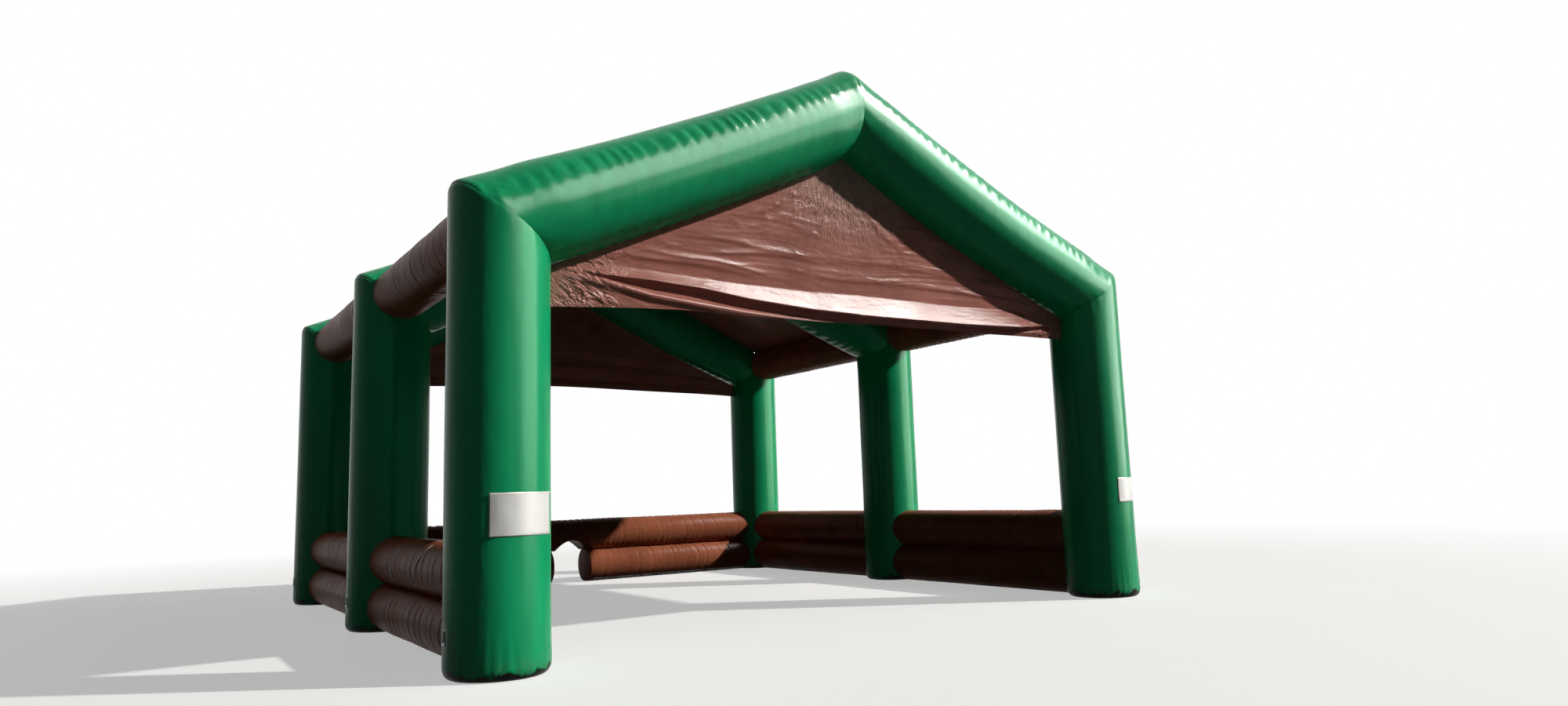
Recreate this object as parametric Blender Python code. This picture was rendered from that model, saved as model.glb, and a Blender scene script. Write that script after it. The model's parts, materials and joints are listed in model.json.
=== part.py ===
"""Inflatable event tent: three mitred air-filled arches joined by eave beams, low
walls of two stacked air chambers on three sides, roof cloth in each bay and a
hanging cloth in the front and rear gables. Metres, +Z up, front towards -Y."""

import math

import bmesh
import bpy
from mathutils import Vector

# The arches
ARCH_WIDTH = 8.05  # between the axes of an arch's two legs
BAY = 4.28  # from one arch to the next
EAVE_Z = 4.00  # where the axes of leg and rafter meet
RIDGE_Z = 5.80  # where the axes of the two rafters meet
TUBE_RADIUS = 0.46
RAFTER_SWELL = 0.03  # how much fatter a rafter is half way up
SWELL_LOSS = 0.5  # share of that swell that is lost towards a rafter's ends
RAFTER_SAG = 0.045  # how far a rafter's axis hangs below a straight line half way up
ELBOW_BULGE = 0.03  # how far a mitre's outer corner stands out
ELBOW_REACH = 0.70  # how far down a leg that begins
FOOT_RADIUS = 0.40  # the flat that a leg stands on
FOOT_RISE = 0.10
SKIN = 0.004  # thickness given to every air-holding skin
GAP = 0.0003  # between pieces that touch

# The eave beams and the low walls
BEAM_RADIUS = 0.325
BEAM_Z = 4.07
LOWER_RADIUS = 0.30
LOWER_Z = 0.295
UPPER_RADIUS = 0.285
UPPER_Z = 0.825
HOLE_X = -0.03  # middle of the arched hole in the rear wall
HOLE_WIDTH = 0.66
HOLE_SPRING_Z = 0.44
HOLE_TOP_Z = 0.745
END_ROUNDING = 0.05  # how far back a lower chamber's end at the hole is rounded

# The cloths
CLOTH = 0.004
ROOF_LIFT = 0.20  # roof cloth above the rafters' axes
ROOF_SAG = 0.10
SAG_SPREAD = 0.7  # share of a half wave that the sag runs through up the slope
ROOF_RIPPLE = 0.012
ROOF_RIPPLES = 3  # from one arch to the next
RIDGE_SETBACK = 0.0015  # keeps the two slopes' edges apart at the ridge
FRONT_HEM_Z = 3.275  # at its left end
FRONT_HEM_RISE = 0.085  # to its right end, where it is tied higher
FRONT_HEM_CURVE = 1.3
REAR_HEM_Z = 3.40
REAR_HEM_RISE = 0.13  # the rear hem is higher at mid-span
BILLOW = 0.10

# The sign panels on the front legs, as (bottom, top, first angle, last angle)
LEFT_PANEL = (1.19, 1.56, -117.0, -36.0)
RIGHT_PANEL = (1.21, 1.52, -104.0, -27.0)
PANEL_SKIN = 0.002

# The webbing straps on the left walls, as (bay, y at the top, y at the bottom)
STRAPS = ((0, 1.62, 1.92), (0, 2.68, 2.90), (1, 1.72, 1.94), (1, 2.62, 2.12))
STRAP_WIDTH = 0.03
STRAP_SKIN = 0.002
STRAP_LEAN = 1.4  # a strap leans more towards its lower end

# The anchor rings low on each leg's outer side
RING_WIRE = 0.004  # radius of the steel
RING_RADIUS = 0.029
EYE_RADIUS = 0.0045
WEB = 0.002
TAB_WIDTH = 0.044
TAB_HEIGHT = 0.085
PATCH_WIDTH = 0.13
PATCH_HEIGHT = 0.15
PATCH_DROP = 0.045  # how far the patch reaches below the eye
PATCH_SKIN = 0.0022
EYE_Z = 0.32
EYE_OUT = 0.0085  # from the leg's flat to the eye's centre

# The inflation sleeve on the rear right leg and the zip on the rear left leg
SLEEVE_RADIUS = 0.13
SLEEVE_NECK = 0.112
SLEEVE_Z = 0.21
SLEEVE_LENGTH = 0.50  # beyond the leg
SLEEVE_LIP = 0.004  # how much wider the mouth is turned out
MOUTH_RUN = 0.05  # length of the turned-out mouth
SLEEVE_TAPER = 0.09  # along the sleeve, into the tie
TIE_BACK = 0.17  # from the mouth to the tie
TIE_MARGIN = 0.03  # straight run of the neck on each side of the tie
PORT_RADIUS = 0.10
PORT_REACH = (0.2, 0.6)  # from the leg's axis, through its back
TIE_WIDTH = 0.034
TIE_SKIN = 0.0025
ZIP_LOW_Z = 0.40
ZIP_LENGTH = 0.62
TAPE_HALF = 0.016
TAPE_SKIN = 0.0015
CHAIN_NECK_HALF = 0.0015
CHAIN_HALF = 0.004
CHAIN_LOW = 0.0038  # from the leg to the underside of the chain's head
CHAIN_TOP = 0.0060
SLIDER_LENGTH = 0.028
SLIDER_CLEAR = 0.0005
SLIDER_WALL = 0.0024
SLIDER_LIFT = 0.02  # from the zip's lower end
PULL_HALF = 0.005
PULL_SKIN = 0.0028
PULL_SUNK = 0.0008  # into the slider's back
PULL_HANG = 0.03
PULL_SETBACK = 0.008

TUBE_SIDES = 20
BEAM_SIDES = 20
CHAMBER_STEPS = 14
SLEEVE_SIDES = 16
FOOT_STEPS = 3
CUTTER_DROP = 0.02  # how far the cutters reach past what they cut
RAFTER_STATIONS = (0.0, 0.2, 0.5, 0.8, 1.0)
EAVE_CLEAR = 0.42  # straight run of a rafter before its swell, at each end
RIDGE_CLEAR = 0.30

LEG_X = ARCH_WIDTH / 2
PITCH = math.atan2(RIDGE_Z - EAVE_Z, LEG_X)
UP = Vector((0, 0, 1))
LEFT = Vector((-1, 0, 0))
BACK = Vector((0, 1, 0))
SLOPE = Vector((math.cos(PITCH), 0, math.sin(PITCH)))
ABOVE = Vector((-math.sin(PITCH), 0, math.cos(PITCH)))
EAVE_CUT = (UP + SLOPE).normalized()
RIDGE_CUT = Vector((1, 0, 0))
SEAM_Z = LOWER_Z + ((UPPER_Z - LOWER_Z) ** 2 + LOWER_RADIUS**2 - UPPER_RADIUS**2) / (
    2 * (UPPER_Z - LOWER_Z)
)
FRONT_REACH = TUBE_RADIUS + RAFTER_SWELL
REAR_REACH = TUBE_RADIUS + SLEEVE_LENGTH
FRONT_Y = FRONT_REACH - (FRONT_REACH + 2 * BAY + REAR_REACH) / 2
ARCH_Y = (FRONT_Y, FRONT_Y + BAY, FRONT_Y + 2 * BAY)


def corner_radius(radius, sides):
    """Corner distance of a polygon that lies half inside and half outside a circle."""
    return 2 * radius / (1 + math.cos(math.pi / sides))


def flat_distance(radius, sides):
    return corner_radius(radius, sides) * math.cos(math.pi / sides)


def ring(anchor, along, out, radius, sides, cut=None, bulge=0.0):
    """Points round a tube's axis, slid along the tube onto the plane with normal cut.
    The bulge is added on the side that out points to."""
    cut = cut or along
    across = along.cross(out)
    corner = corner_radius(radius, sides)
    points = []
    for step in range(sides):
        turn = 2 * math.pi * (step + 0.5) / sides
        reach = corner + bulge * max(0.0, math.cos(turn)) ** 2
        offset = (out * math.cos(turn) + across * math.sin(turn)) * reach
        points.append(anchor + offset - along * (offset.dot(cut) / along.dot(cut)))
    return points


def moved(rings, shift):
    return [[point + shift for point in points] for points in rings]


def mirrored(rings):
    return [[Vector((-p.x, p.y, p.z)) for p in points] for points in rings]


def loft(name, rings, loop=False, smooth=True):
    """A closed mesh that joins each ring to the next. A ring of one point is a pole."""
    shape = bmesh.new()
    rows = [[shape.verts.new(point) for point in points] for points in rings]
    following = rows[1:] + rows[:1] if loop else rows[1:]
    for low, high in zip(rows, following):
        for step in range(max(len(low), len(high))):
            corners = (
                low[step % len(low)],
                low[(step + 1) % len(low)],
                high[(step + 1) % len(high)],
                high[step % len(high)],
            )
            shape.faces.new(dict.fromkeys(corners))
    return finished(name, shape, smooth)


def prism(name, outline, along, smooth=False):
    """The outline, a closed list of points, extruded along a vector."""
    shape = bmesh.new()
    face = shape.faces.new([shape.verts.new(point) for point in outline])
    made = bmesh.ops.extrude_face_region(shape, geom=[face])
    tips = [item for item in made["geom"] if isinstance(item, bmesh.types.BMVert)]
    bmesh.ops.translate(shape, verts=tips, vec=along)
    return finished(name, shape, smooth)


def grid(name, place, columns, rows):
    """An open sheet: place(u, v) gives its point for u and v from 0 to 1."""
    shape = bmesh.new()
    points = [
        [shape.verts.new(place(u / columns, v / rows)) for u in range(columns + 1)]
        for v in range(rows + 1)
    ]
    for low, high in zip(points, points[1:]):
        for u in range(columns):
            shape.faces.new((low[u], low[u + 1], high[u + 1], high[u]))
    return finished(name, shape, True, closed=False)


def is_bent(face):
    """True for a quad whose four corners don't share one plane."""
    first, *others = (vert.co for vert in face.verts)
    if len(others) != 3:
        return False
    near, far, last = (point - first for point in others)
    return abs(near.cross(far).dot(last)) > 1e-7


def finished(name, shape, smooth, closed=True):
    # Bent quads are split here, so that a piece and its cutter are split alike
    bent = [face for face in shape.faces if is_bent(face)]
    bmesh.ops.triangulate(shape, faces=bent, quad_method="SHORT_EDGE")
    if closed:
        bmesh.ops.recalc_face_normals(shape, faces=shape.faces)
    mesh = bpy.data.meshes.new(name)
    shape.to_mesh(mesh)
    shape.free()
    if smooth:
        mesh.shade_smooth()
        mesh.set_sharp_from_angle(angle=math.radians(32))
    return mesh


def material(name, colour, roughness, metallic=0.0):
    made = bpy.data.materials.new(name)
    made.use_nodes = True
    made.diffuse_color = (*colour, 1)
    shader = made.node_tree.nodes["Principled BSDF"]
    shader.inputs["Base Color"].default_value = (*colour, 1)
    shader.inputs["Roughness"].default_value = roughness
    shader.inputs["Metallic"].default_value = metallic
    return made


def empty(name, location, parent=None):
    made = bpy.data.objects.new(name, None)
    bpy.context.scene.collection.objects.link(made)
    made.location = location
    made.parent = parent
    return made


def piece(name, mesh, finish, parent, location=(0, 0, 0), turn=0.0):
    """An object of this mesh in its own material slot, turned about Z."""
    made = bpy.data.objects.new(name, mesh)
    bpy.context.scene.collection.objects.link(made)
    made.location = location
    made.rotation_euler.z = turn
    made.parent = parent
    if not mesh.materials:
        mesh.materials.append(finish)
    return made


def helper(name, mesh, parent, location=(0, 0, 0)):
    """A cutter: never part of the tent."""
    made = piece(name, mesh, None, parent, location)
    made.hide_render = True
    made.display_type = "WIRE"
    return made


def boolean(target, tool, operation="DIFFERENCE"):
    modifier = target.modifiers.new(f"{operation.lower()} {tool.name}", "BOOLEAN")
    modifier.operation = operation
    modifier.solver = "EXACT"
    modifier.object = tool


def thicken(target, thickness):
    modifier = target.modifiers.new("cloth", "SOLIDIFY")
    modifier.thickness = thickness
    modifier.offset = 0


# Rings of one leg about its own axis: the rounded foot, then the mitre at the eave
def leg_rings(grow, setback=0.0, drop=0.0):
    rings = []
    for step in range(FOOT_STEPS + 1):
        turn = math.pi / 2 * step / FOOT_STEPS
        radius = FOOT_RADIUS + (TUBE_RADIUS - FOOT_RADIUS) * math.sin(turn)
        height = FOOT_RISE * (1 - math.cos(turn))
        if step == 0:
            height -= drop
        rings.append(ring(UP * height, UP, LEFT, radius + grow, TUBE_SIDES))
    rings.append(ring(UP * (EAVE_Z - ELBOW_REACH), UP, LEFT, TUBE_RADIUS + grow, TUBE_SIDES))
    top = UP * (EAVE_Z - setback / UP.dot(EAVE_CUT))
    rings.append(mitre_ring(top, UP, LEFT, grow, EAVE_CUT))
    return rings


def mitre_ring(anchor, along, out, grow, cut):
    return ring(anchor, along, out, TUBE_RADIUS + grow, TUBE_SIDES, cut, ELBOW_BULGE)


# Rings of one rafter from the eave: two mitres, and the swelling and sag between them
def rafter_rings(grow, setback=0.0, stations=RAFTER_STATIONS):
    length = math.hypot(LEG_X, RIDGE_Z - EAVE_Z)
    foot = SLOPE * (setback / SLOPE.dot(EAVE_CUT))
    head = SLOPE * (length - setback / SLOPE.dot(RIDGE_CUT))
    rings = [mitre_ring(foot, SLOPE, ABOVE, grow, EAVE_CUT)]
    for share in stations:
        reach = EAVE_CLEAR + (length - EAVE_CLEAR - RIDGE_CLEAR) * share
        radius = TUBE_RADIUS + RAFTER_SWELL * (1 - SWELL_LOSS * (2 * share - 1) ** 4)
        centre = SLOPE * reach - ABOVE * RAFTER_SAG * math.sin(math.pi * reach / length)
        rings.append(ring(centre, SLOPE, ABOVE, radius + grow, TUBE_SIDES))
    rings.append(mitre_ring(head, SLOPE, ABOVE, grow, RIDGE_CUT))
    return rings


def arch_meshes():
    """The left leg and rafter and their mirror images, each an open skin."""
    outer = leg_rings(0, GAP / 2)
    inner = leg_rings(-SKIN, GAP / 2)
    floor = moved(inner[:1], UP * SKIN)
    foot = [[Vector((0, 0, 0))]]
    leg = foot + outer + inner[:FOOT_STEPS - 1:-1] + floor + moved(foot, UP * SKIN)
    hollow = rafter_rings(-SKIN, GAP / 2)
    rafter = rafter_rings(0, GAP / 2) + hollow[::-1]
    return {
        "left_leg": loft("left_leg", leg),
        "left_rafter": loft("left_rafter", rafter, loop=True),
        "right_rafter": loft("right_rafter", mirrored(rafter), loop=True),
        "right_leg": loft("right_leg", mirrored(leg)),
    }


def arch_cutter_mesh():
    """The whole arch as one solid, larger by the gap, for seating what meets it."""
    leg = moved(leg_rings(GAP, drop=CUTTER_DROP), LEFT * LEG_X)
    rafter = moved(rafter_rings(GAP), LEFT * LEG_X + UP * EAVE_Z)
    foot = [[LEFT * LEG_X - UP * CUTTER_DROP]]
    half = foot + leg + rafter[1:]
    return loft("arch_cutter", half + mirrored(half[:-1])[::-1])


def build_arches():
    meshes = arch_meshes()
    cutter = arch_cutter_mesh()
    places = {
        "left_leg": (-LEG_X, 0, 0),
        "left_rafter": (-LEG_X, 0, EAVE_Z),
        "right_rafter": (LEG_X, 0, EAVE_Z),
        "right_leg": (LEG_X, 0, 0),
    }
    arches = []
    for name, y in zip(("front", "middle", "rear"), ARCH_Y):
        frame = empty(f"{name}_arch", (0, y, 0))
        for part, mesh in meshes.items():
            piece(f"{name}_{part}", mesh, GREEN, frame, places[part])
        arches.append((frame, helper(f"{name}_arch_cutter", cutter, frame)))
    return arches


def build_beams(arches):
    """An eave beam in each bay on each side, coped to the arches at both ends."""
    ends = [
        ring(BACK * y, BACK, UP, radius, BEAM_SIDES)
        for radius, y in (
            (BEAM_RADIUS, 0),
            (BEAM_RADIUS, BAY),
            (BEAM_RADIUS - SKIN, BAY),
            (BEAM_RADIUS - SKIN, 0),
        )
    ]
    beam = loft("eave_beam", ends, loop=True)
    solid = [ring(BACK * y, BACK, UP, BEAM_RADIUS + GAP, BEAM_SIDES) for y in (0, BAY)]
    solid = [[BACK * 0]] + solid + [[BACK * BAY]]
    seat = loft("beam_cutter", solid)
    seats = {}
    for bay, name in enumerate(("front", "rear")):
        frame = arches[bay][0]
        for side, x in (("left", -LEG_X), ("right", LEG_X)):
            made = piece(f"{name}_{side}_eave_beam", beam, BROWN, frame, (x, 0, BEAM_Z))
            boolean(made, arches[bay][1])
            boolean(made, arches[bay + 1][1])
            label = f"{name}_{side}_beam_cutter"
            seats[bay, side] = helper(label, seat, frame, (x, 0, BEAM_Z))
    return seats


def chamber_outline(centre, radius, floor, seam=None):
    """One wall chamber's outline as (thickness, height): round, with a flat where it is sewn."""
    low = math.asin((floor - centre) / radius)
    if seam is None:
        span = math.pi - 2 * low
        turns = [low + span * step / CHAMBER_STEPS for step in range(CHAMBER_STEPS + 1)]
    else:
        half = CHAMBER_STEPS // 2
        high = math.asin((seam - centre) / radius)
        right = [low + (high - low) * step / half for step in range(half + 1)]
        turns = right + [math.pi - turn for turn in reversed(right)]
    return [(radius * math.cos(turn), centre + radius * math.sin(turn)) for turn in turns]


def chamber_outlines(part):
    """The outer and inner outlines of the lower or the upper chamber."""
    if part == "lower":
        seam = SEAM_Z - GAP / 2
        outer = chamber_outline(LOWER_Z, LOWER_RADIUS, 0, seam)
        inner = chamber_outline(LOWER_Z, LOWER_RADIUS - SKIN, SKIN, seam - SKIN)
    else:
        seam = SEAM_Z + GAP / 2
        outer = chamber_outline(UPPER_Z, UPPER_RADIUS, seam)
        inner = chamber_outline(UPPER_Z, UPPER_RADIUS - SKIN, seam + SKIN)
    return outer, inner


def side_ring(outline, y):
    return [Vector((thick, y, height)) for thick, height in outline]


def rear_ring(outline, x, share=1.0):
    """An outline across X, drawn in about its middle height by share."""
    middle = (max(h for _, h in outline) + min(h for _, h in outline)) / 2
    return [
        Vector((x, thick * share, middle + (height - middle) * share))
        for thick, height in outline
    ]


def build_side_walls(arches):
    for part in ("lower", "upper"):
        outer, inner = chamber_outlines(part)
        skin = [side_ring(outer, 0), side_ring(outer, BAY)]
        skin += [side_ring(inner, BAY), side_ring(inner, 0)]
        mesh = loft(f"side_wall_{part}", skin, loop=True)
        for bay, name in enumerate(("front", "rear")):
            for side, x in (("left", -LEG_X), ("right", LEG_X)):
                label = f"{name}_{side}_wall_{part}"
                made = piece(label, mesh, BROWN, arches[bay][0], (x, 0, 0))
                boolean(made, arches[bay][1])
                boolean(made, arches[bay + 1][1])


def build_rear_lower(arches):
    """The lower rear chamber in two lengths, each closed by a rounded end at the hole."""
    frame, cutter = arches[2]
    outer, inner = chamber_outlines("lower")
    drawn_in, shoulder = 0.90, 0.97  # the end's outline as a share of the full one
    inner_end, inner_share = 0.87, 0.98
    for side, sign in (("left", -1), ("right", 1)):
        leg = sign * LEG_X
        edge = HOLE_X + sign * HOLE_WIDTH / 2
        full = edge + sign * END_ROUNDING
        tip = Vector((edge, 0, (outer[0][1] + SEAM_Z) / 2))
        rings = [
            [tip],
            rear_ring(outer, edge, drawn_in),
            rear_ring(outer, edge + (full - edge) / 4, shoulder),
            rear_ring(outer, full),
            rear_ring(outer, leg),
            rear_ring(inner, leg, inner_share),
            rear_ring(inner, full, inner_share),
            rear_ring(inner, edge + sign * SKIN, inner_end),
            [tip + Vector((sign * SKIN, 0, 0))],
        ]
        shape = loft(f"rear_wall_lower_{side}", rings)
        made = piece(f"rear_wall_lower_{side}", shape, BROWN, frame)
        boolean(made, cutter)


def arch_outline(width, top, spring, floor, steps=10):
    """An arched doorway's outline in X and Z about its own middle."""
    half = width / 2
    points = [Vector((half, 0, floor))]
    for step in range(steps + 1):
        turn = math.pi * step / steps
        points.append(
            Vector((half * math.cos(turn), 0, spring + (top - spring) * math.sin(turn)))
        )
    points.append(Vector((-half, 0, floor)))
    return points


def build_rear_upper(arches):
    """The upper rear chamber, with the hole's arch cut in its underside and lined."""
    frame, cutter = arches[2]
    outer, inner = chamber_outlines("upper")
    depth = 4 * UPPER_RADIUS
    notches = []
    for name, grow in (("hole_cutter", 0), ("hole_liner_cutter", SKIN)):
        outline = arch_outline(
            HOLE_WIDTH + 2 * grow, HOLE_TOP_Z + grow, HOLE_SPRING_Z, LOWER_Z
        )
        tool = prism(name, outline, BACK * depth)
        notches.append(helper(name, tool, frame, (HOLE_X, -depth / 2, 0)))
    reach = LEG_X + CUTTER_DROP
    core = [rear_ring(inner, -reach), rear_ring(inner, reach)]
    air = helper("rear_air_cutter", capped(core, "rear_air_cutter"), frame)
    boolean(air, notches[1])
    body = [rear_ring(outer, -LEG_X), rear_ring(outer, LEG_X)]
    made = piece("rear_wall_upper", capped(body, "rear_wall_upper"), BROWN, frame)
    boolean(made, notches[0])
    boolean(made, air)
    boolean(made, cutter)


def capped(rings, name):
    """Two rings joined and closed with a flat face at each end."""
    shape = bmesh.new()
    rows = [[shape.verts.new(point) for point in points] for points in rings]
    for low, high in zip(rows, rows[1:]):
        for step in range(len(low)):
            after = (step + 1) % len(low)
            shape.faces.new((low[step], low[after], high[after], high[step]))
    shape.faces.new(rows[0])
    shape.faces.new(rows[-1])
    return finished(name, shape, True)


def build_roof(arches, seats):
    """Roof cloth: one panel for each slope of each bay, sagging between the arches."""

    def place(u, v):
        x = -LEG_X * (1 - u) - RIDGE_SETBACK
        sag = ROOF_SAG * math.sin(math.pi * v) * math.sin(math.pi * SAG_SPREAD * u)
        ripple = ROOF_RIPPLE * math.sin(2 * math.pi * ROOF_RIPPLES * v) * math.sin(math.pi * u)
        rise = (RIDGE_Z - EAVE_Z) * u + ROOF_LIFT / math.cos(PITCH)
        return Vector((x, BAY * v, EAVE_Z + rise - sag + ripple))

    def place_right(u, v):
        point = place(1 - u, v)
        return Vector((-point.x, point.y, point.z))

    left = grid("roof_left", place, 7, 12)
    right = grid("roof_right", place_right, 7, 12)
    for bay, name in enumerate(("front", "rear")):
        for side, mesh in (("left", left), ("right", right)):
            made = piece(f"{name}_{side}_roof_cloth", mesh, CANVAS, arches[bay][0])
            thicken(made, CLOTH)
            boolean(made, arches[bay][1])
            boolean(made, arches[bay + 1][1])
            boolean(made, seats[bay, side])


# Folds of the front gable cloth, as (x, z) start and end, depth and width.
# They fan out from the left corner, fall from the peak and roll above the hem.
FRONT_FOLDS = (
    ((-3.7, 3.85), (2.2, 3.72), 0.035, 0.09),
    ((-3.7, 3.80), (0.6, 3.50), -0.040, 0.08),
    ((-3.6, 3.95), (0.4, 4.35), -0.030, 0.12),
    ((0.0, 5.30), (-1.2, 3.60), 0.025, 0.12),
    ((0.1, 5.30), (1.0, 3.70), -0.035, 0.14),
    ((-1.8, 3.52), (3.6, 3.50), -0.070, 0.11),
    ((3.6, 3.80), (-0.4, 4.05), 0.030, 0.10),
)
REAR_FOLDS = (
    ((-3.7, 3.80), (1.0, 3.75), 0.030, 0.10),
    ((3.7, 3.80), (-0.5, 4.10), -0.030, 0.12),
    ((0.0, 5.30), (0.3, 3.70), 0.030, 0.14),
)


def fold_depth(x, z, folds):
    """Sum of the folds: each a soft ridge along its line that fades at both ends."""
    total = 0.0
    for start, end, depth, width in folds:
        run = Vector((end[0] - start[0], end[1] - start[1]))
        offset = Vector((x - start[0], z - start[1]))
        share = offset.dot(run) / run.length_squared
        if not 0 < share < 1:
            continue
        away = (run.x * offset.y - run.y * offset.x) / run.length
        total += depth * math.sin(math.pi * share) ** 0.7 * math.exp(-((away / width) ** 2))
    return total


def front_hem(x):
    return FRONT_HEM_Z + FRONT_HEM_RISE * max(0.0, (x / LEG_X + 1) / 2) ** FRONT_HEM_CURVE


def rear_hem(x):
    return REAR_HEM_Z + REAR_HEM_RISE * (1 - (x / LEG_X) ** 2)


def build_gable_cloth(name, arch, hem, folds, columns, rows, bulge):
    """A cloth that hangs from an arch's two rafters down to its hem, between the legs."""
    frame, cutter = arch

    def place(u, v):
        x = LEG_X * (2 * u - 1)
        top = EAVE_Z + (RIDGE_Z - EAVE_Z) * (1 - abs(x) / LEG_X)
        low = hem(x)
        z = low + (top - low) * v
        swell = bulge * math.sin(math.pi * u) * math.cos(math.pi / 2 * v)
        return Vector((x, swell + fold_depth(x, z, folds), z))

    made = piece(name, grid(name, place, columns, rows), CANVAS, frame)
    thicken(made, CLOTH)
    boolean(made, cutter)


def on_leg(degrees, lift, height):
    """A point lift outside the flats of a leg, at an angle from +X about its axis."""
    side = 2 * math.pi / TUBE_SIDES
    turn = math.radians(degrees)
    within = (turn - side / 2) % side - side / 2
    reach = (flat_distance(TUBE_RADIUS, TUBE_SIDES) + lift) / math.cos(within)
    return Vector((reach * math.cos(turn), reach * math.sin(turn), height))


def build_panel(name, frame, x, sizes):
    """A sign panel wrapped on the leg's flats, its ends cut between two edges."""
    bottom, top, first, last = sizes
    step = 360 / TUBE_SIDES
    edge = (math.floor(first / step - 0.5) + 1.5) * step
    angles = [first]
    while edge < last - 1:
        angles.append(edge)
        edge += step
    angles.append(last)
    rings = []
    for angle in angles:
        near, far = (
            (on_leg(angle, lift, bottom), on_leg(angle, lift, top))
            for lift in (GAP, GAP + PANEL_SKIN)
        )
        rings.append([near[0], far[0], far[1], near[1]])
    mesh = capped(rings, name)
    piece(name, mesh, WHITE, frame, (x, 0, 0))


def build_straps(arches):
    """Webbing sewn slantwise over the outer face of the left walls' upper chamber."""
    outline = chamber_outlines("upper")[0]
    turns = (9, 10, 11, 12, 13)  # corners of the outline from high to low on the outside
    swell = (UPPER_RADIUS + GAP / math.cos(math.pi / CHAMBER_STEPS)) / UPPER_RADIUS
    for number, (bay, high_y, low_y) in enumerate(STRAPS, 1):
        rings = []
        for step, corner in enumerate(turns):
            share = step / (len(turns) - 1)
            thick, height = outline[corner]
            y = high_y + (low_y - high_y) * share**STRAP_LEAN
            ends = []
            for scale in (swell, swell + STRAP_SKIN / UPPER_RADIUS):
                x = thick * scale
                z = UPPER_Z + (height - UPPER_Z) * scale
                ends.append((x, z))
            (near_x, near_z), (far_x, far_z) = ends
            rings.append(
                [
                    Vector((near_x, y - STRAP_WIDTH / 2, near_z)),
                    Vector((near_x, y + STRAP_WIDTH / 2, near_z)),
                    Vector((far_x, y + STRAP_WIDTH / 2, far_z)),
                    Vector((far_x, y - STRAP_WIDTH / 2, far_z)),
                ]
            )
        name = f"wall_strap_{number}"
        piece(name, capped(rings, name), WEBBING, arches[bay][0], (-LEG_X, 0, 0))


def tab_outline():
    """Side view of the folded webbing: a doubled strip with the ring's eye at its lower end."""
    eye = EYE_RADIUS + WEB
    flat = PATCH_SKIN + 2 * WEB
    points = [Vector((-PATCH_SKIN / 2, 0, TAB_HEIGHT)), Vector((-PATCH_SKIN / 2, 0, 0))]
    for step in range(13):
        turn = -math.pi / 3 - math.pi * step / 12
        points.append(Vector((-EYE_OUT + eye * math.cos(turn), 0, eye * math.sin(turn))))
    points.append(Vector((-flat, 0, 2.2 * eye)))
    points.append(Vector((-flat, 0, TAB_HEIGHT)))
    return points


def build_anchors(arches):
    """A patch, a folded webbing tab and a steel D-ring on the outer flat of every leg."""
    half = TAB_WIDTH / 2
    outline = [point - BACK * half for point in tab_outline()]
    tab = prism("anchor_tab", outline, BACK * TAB_WIDTH)
    low, high = -PATCH_DROP, PATCH_HEIGHT - PATCH_DROP
    patch_outline = [
        Vector((-GAP, -PATCH_WIDTH / 2, low)),
        Vector((-GAP, PATCH_WIDTH / 2, low)),
        Vector((-GAP, PATCH_WIDTH / 2, high)),
        Vector((-GAP, -PATCH_WIDTH / 2, high)),
    ]
    patch = prism("anchor_patch", patch_outline, LEFT * (PATCH_SKIN - GAP))
    bore = []
    for y in (-PATCH_WIDTH, PATCH_WIDTH):
        bore.append(ring(BACK * y, BACK, UP, EYE_RADIUS, 12))
    bore = capped(bore, "eye_cutter")
    steel = d_ring_mesh()
    flat = flat_distance(TUBE_RADIUS, TUBE_SIDES)
    for (frame, _), name in zip(arches, ("front", "middle", "rear")):
        for side, x, turn in (("left", -LEG_X - flat, 0), ("right", LEG_X + flat, math.pi)):
            label = f"{name}_{side}_anchor"
            made = piece(f"{label}_tab", tab, WEBBING, frame, (x, 0, EYE_Z), turn)
            outward = -1 if side == "left" else 1
            eye_x = x + outward * EYE_OUT
            base = helper(f"{label}_patch", patch, frame, (x, 0, EYE_Z))
            base.rotation_euler.z = turn
            drill = helper(f"{label}_eye", bore, frame, (eye_x, 0, EYE_Z))
            boolean(made, base, "UNION")
            boolean(made, drill)
            piece(f"{label}_ring", steel, STEEL, frame, (eye_x, 0, EYE_Z), turn)


def d_ring_mesh():
    """A D of round wire that hangs from its straight bar, which lies along Y."""
    steps = 12
    path = []
    for step in range(steps + 1):
        turn = math.pi * step / steps
        path.append(Vector((0, RING_RADIUS * math.cos(turn), -RING_RADIUS * math.sin(turn))))
    rings = []
    for step, point in enumerate(path):
        before = path[step - 1]
        after = path[(step + 1) % len(path)]
        arriving = (point - before).normalized()
        leaving = (after - point).normalized()
        out = arriving.cross(LEFT)
        cut = (arriving + leaving).normalized()
        rings.append(ring(point, arriving, out, RING_WIRE, 8, cut))
    return loft("anchor_ring", rings, loop=True)


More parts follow.
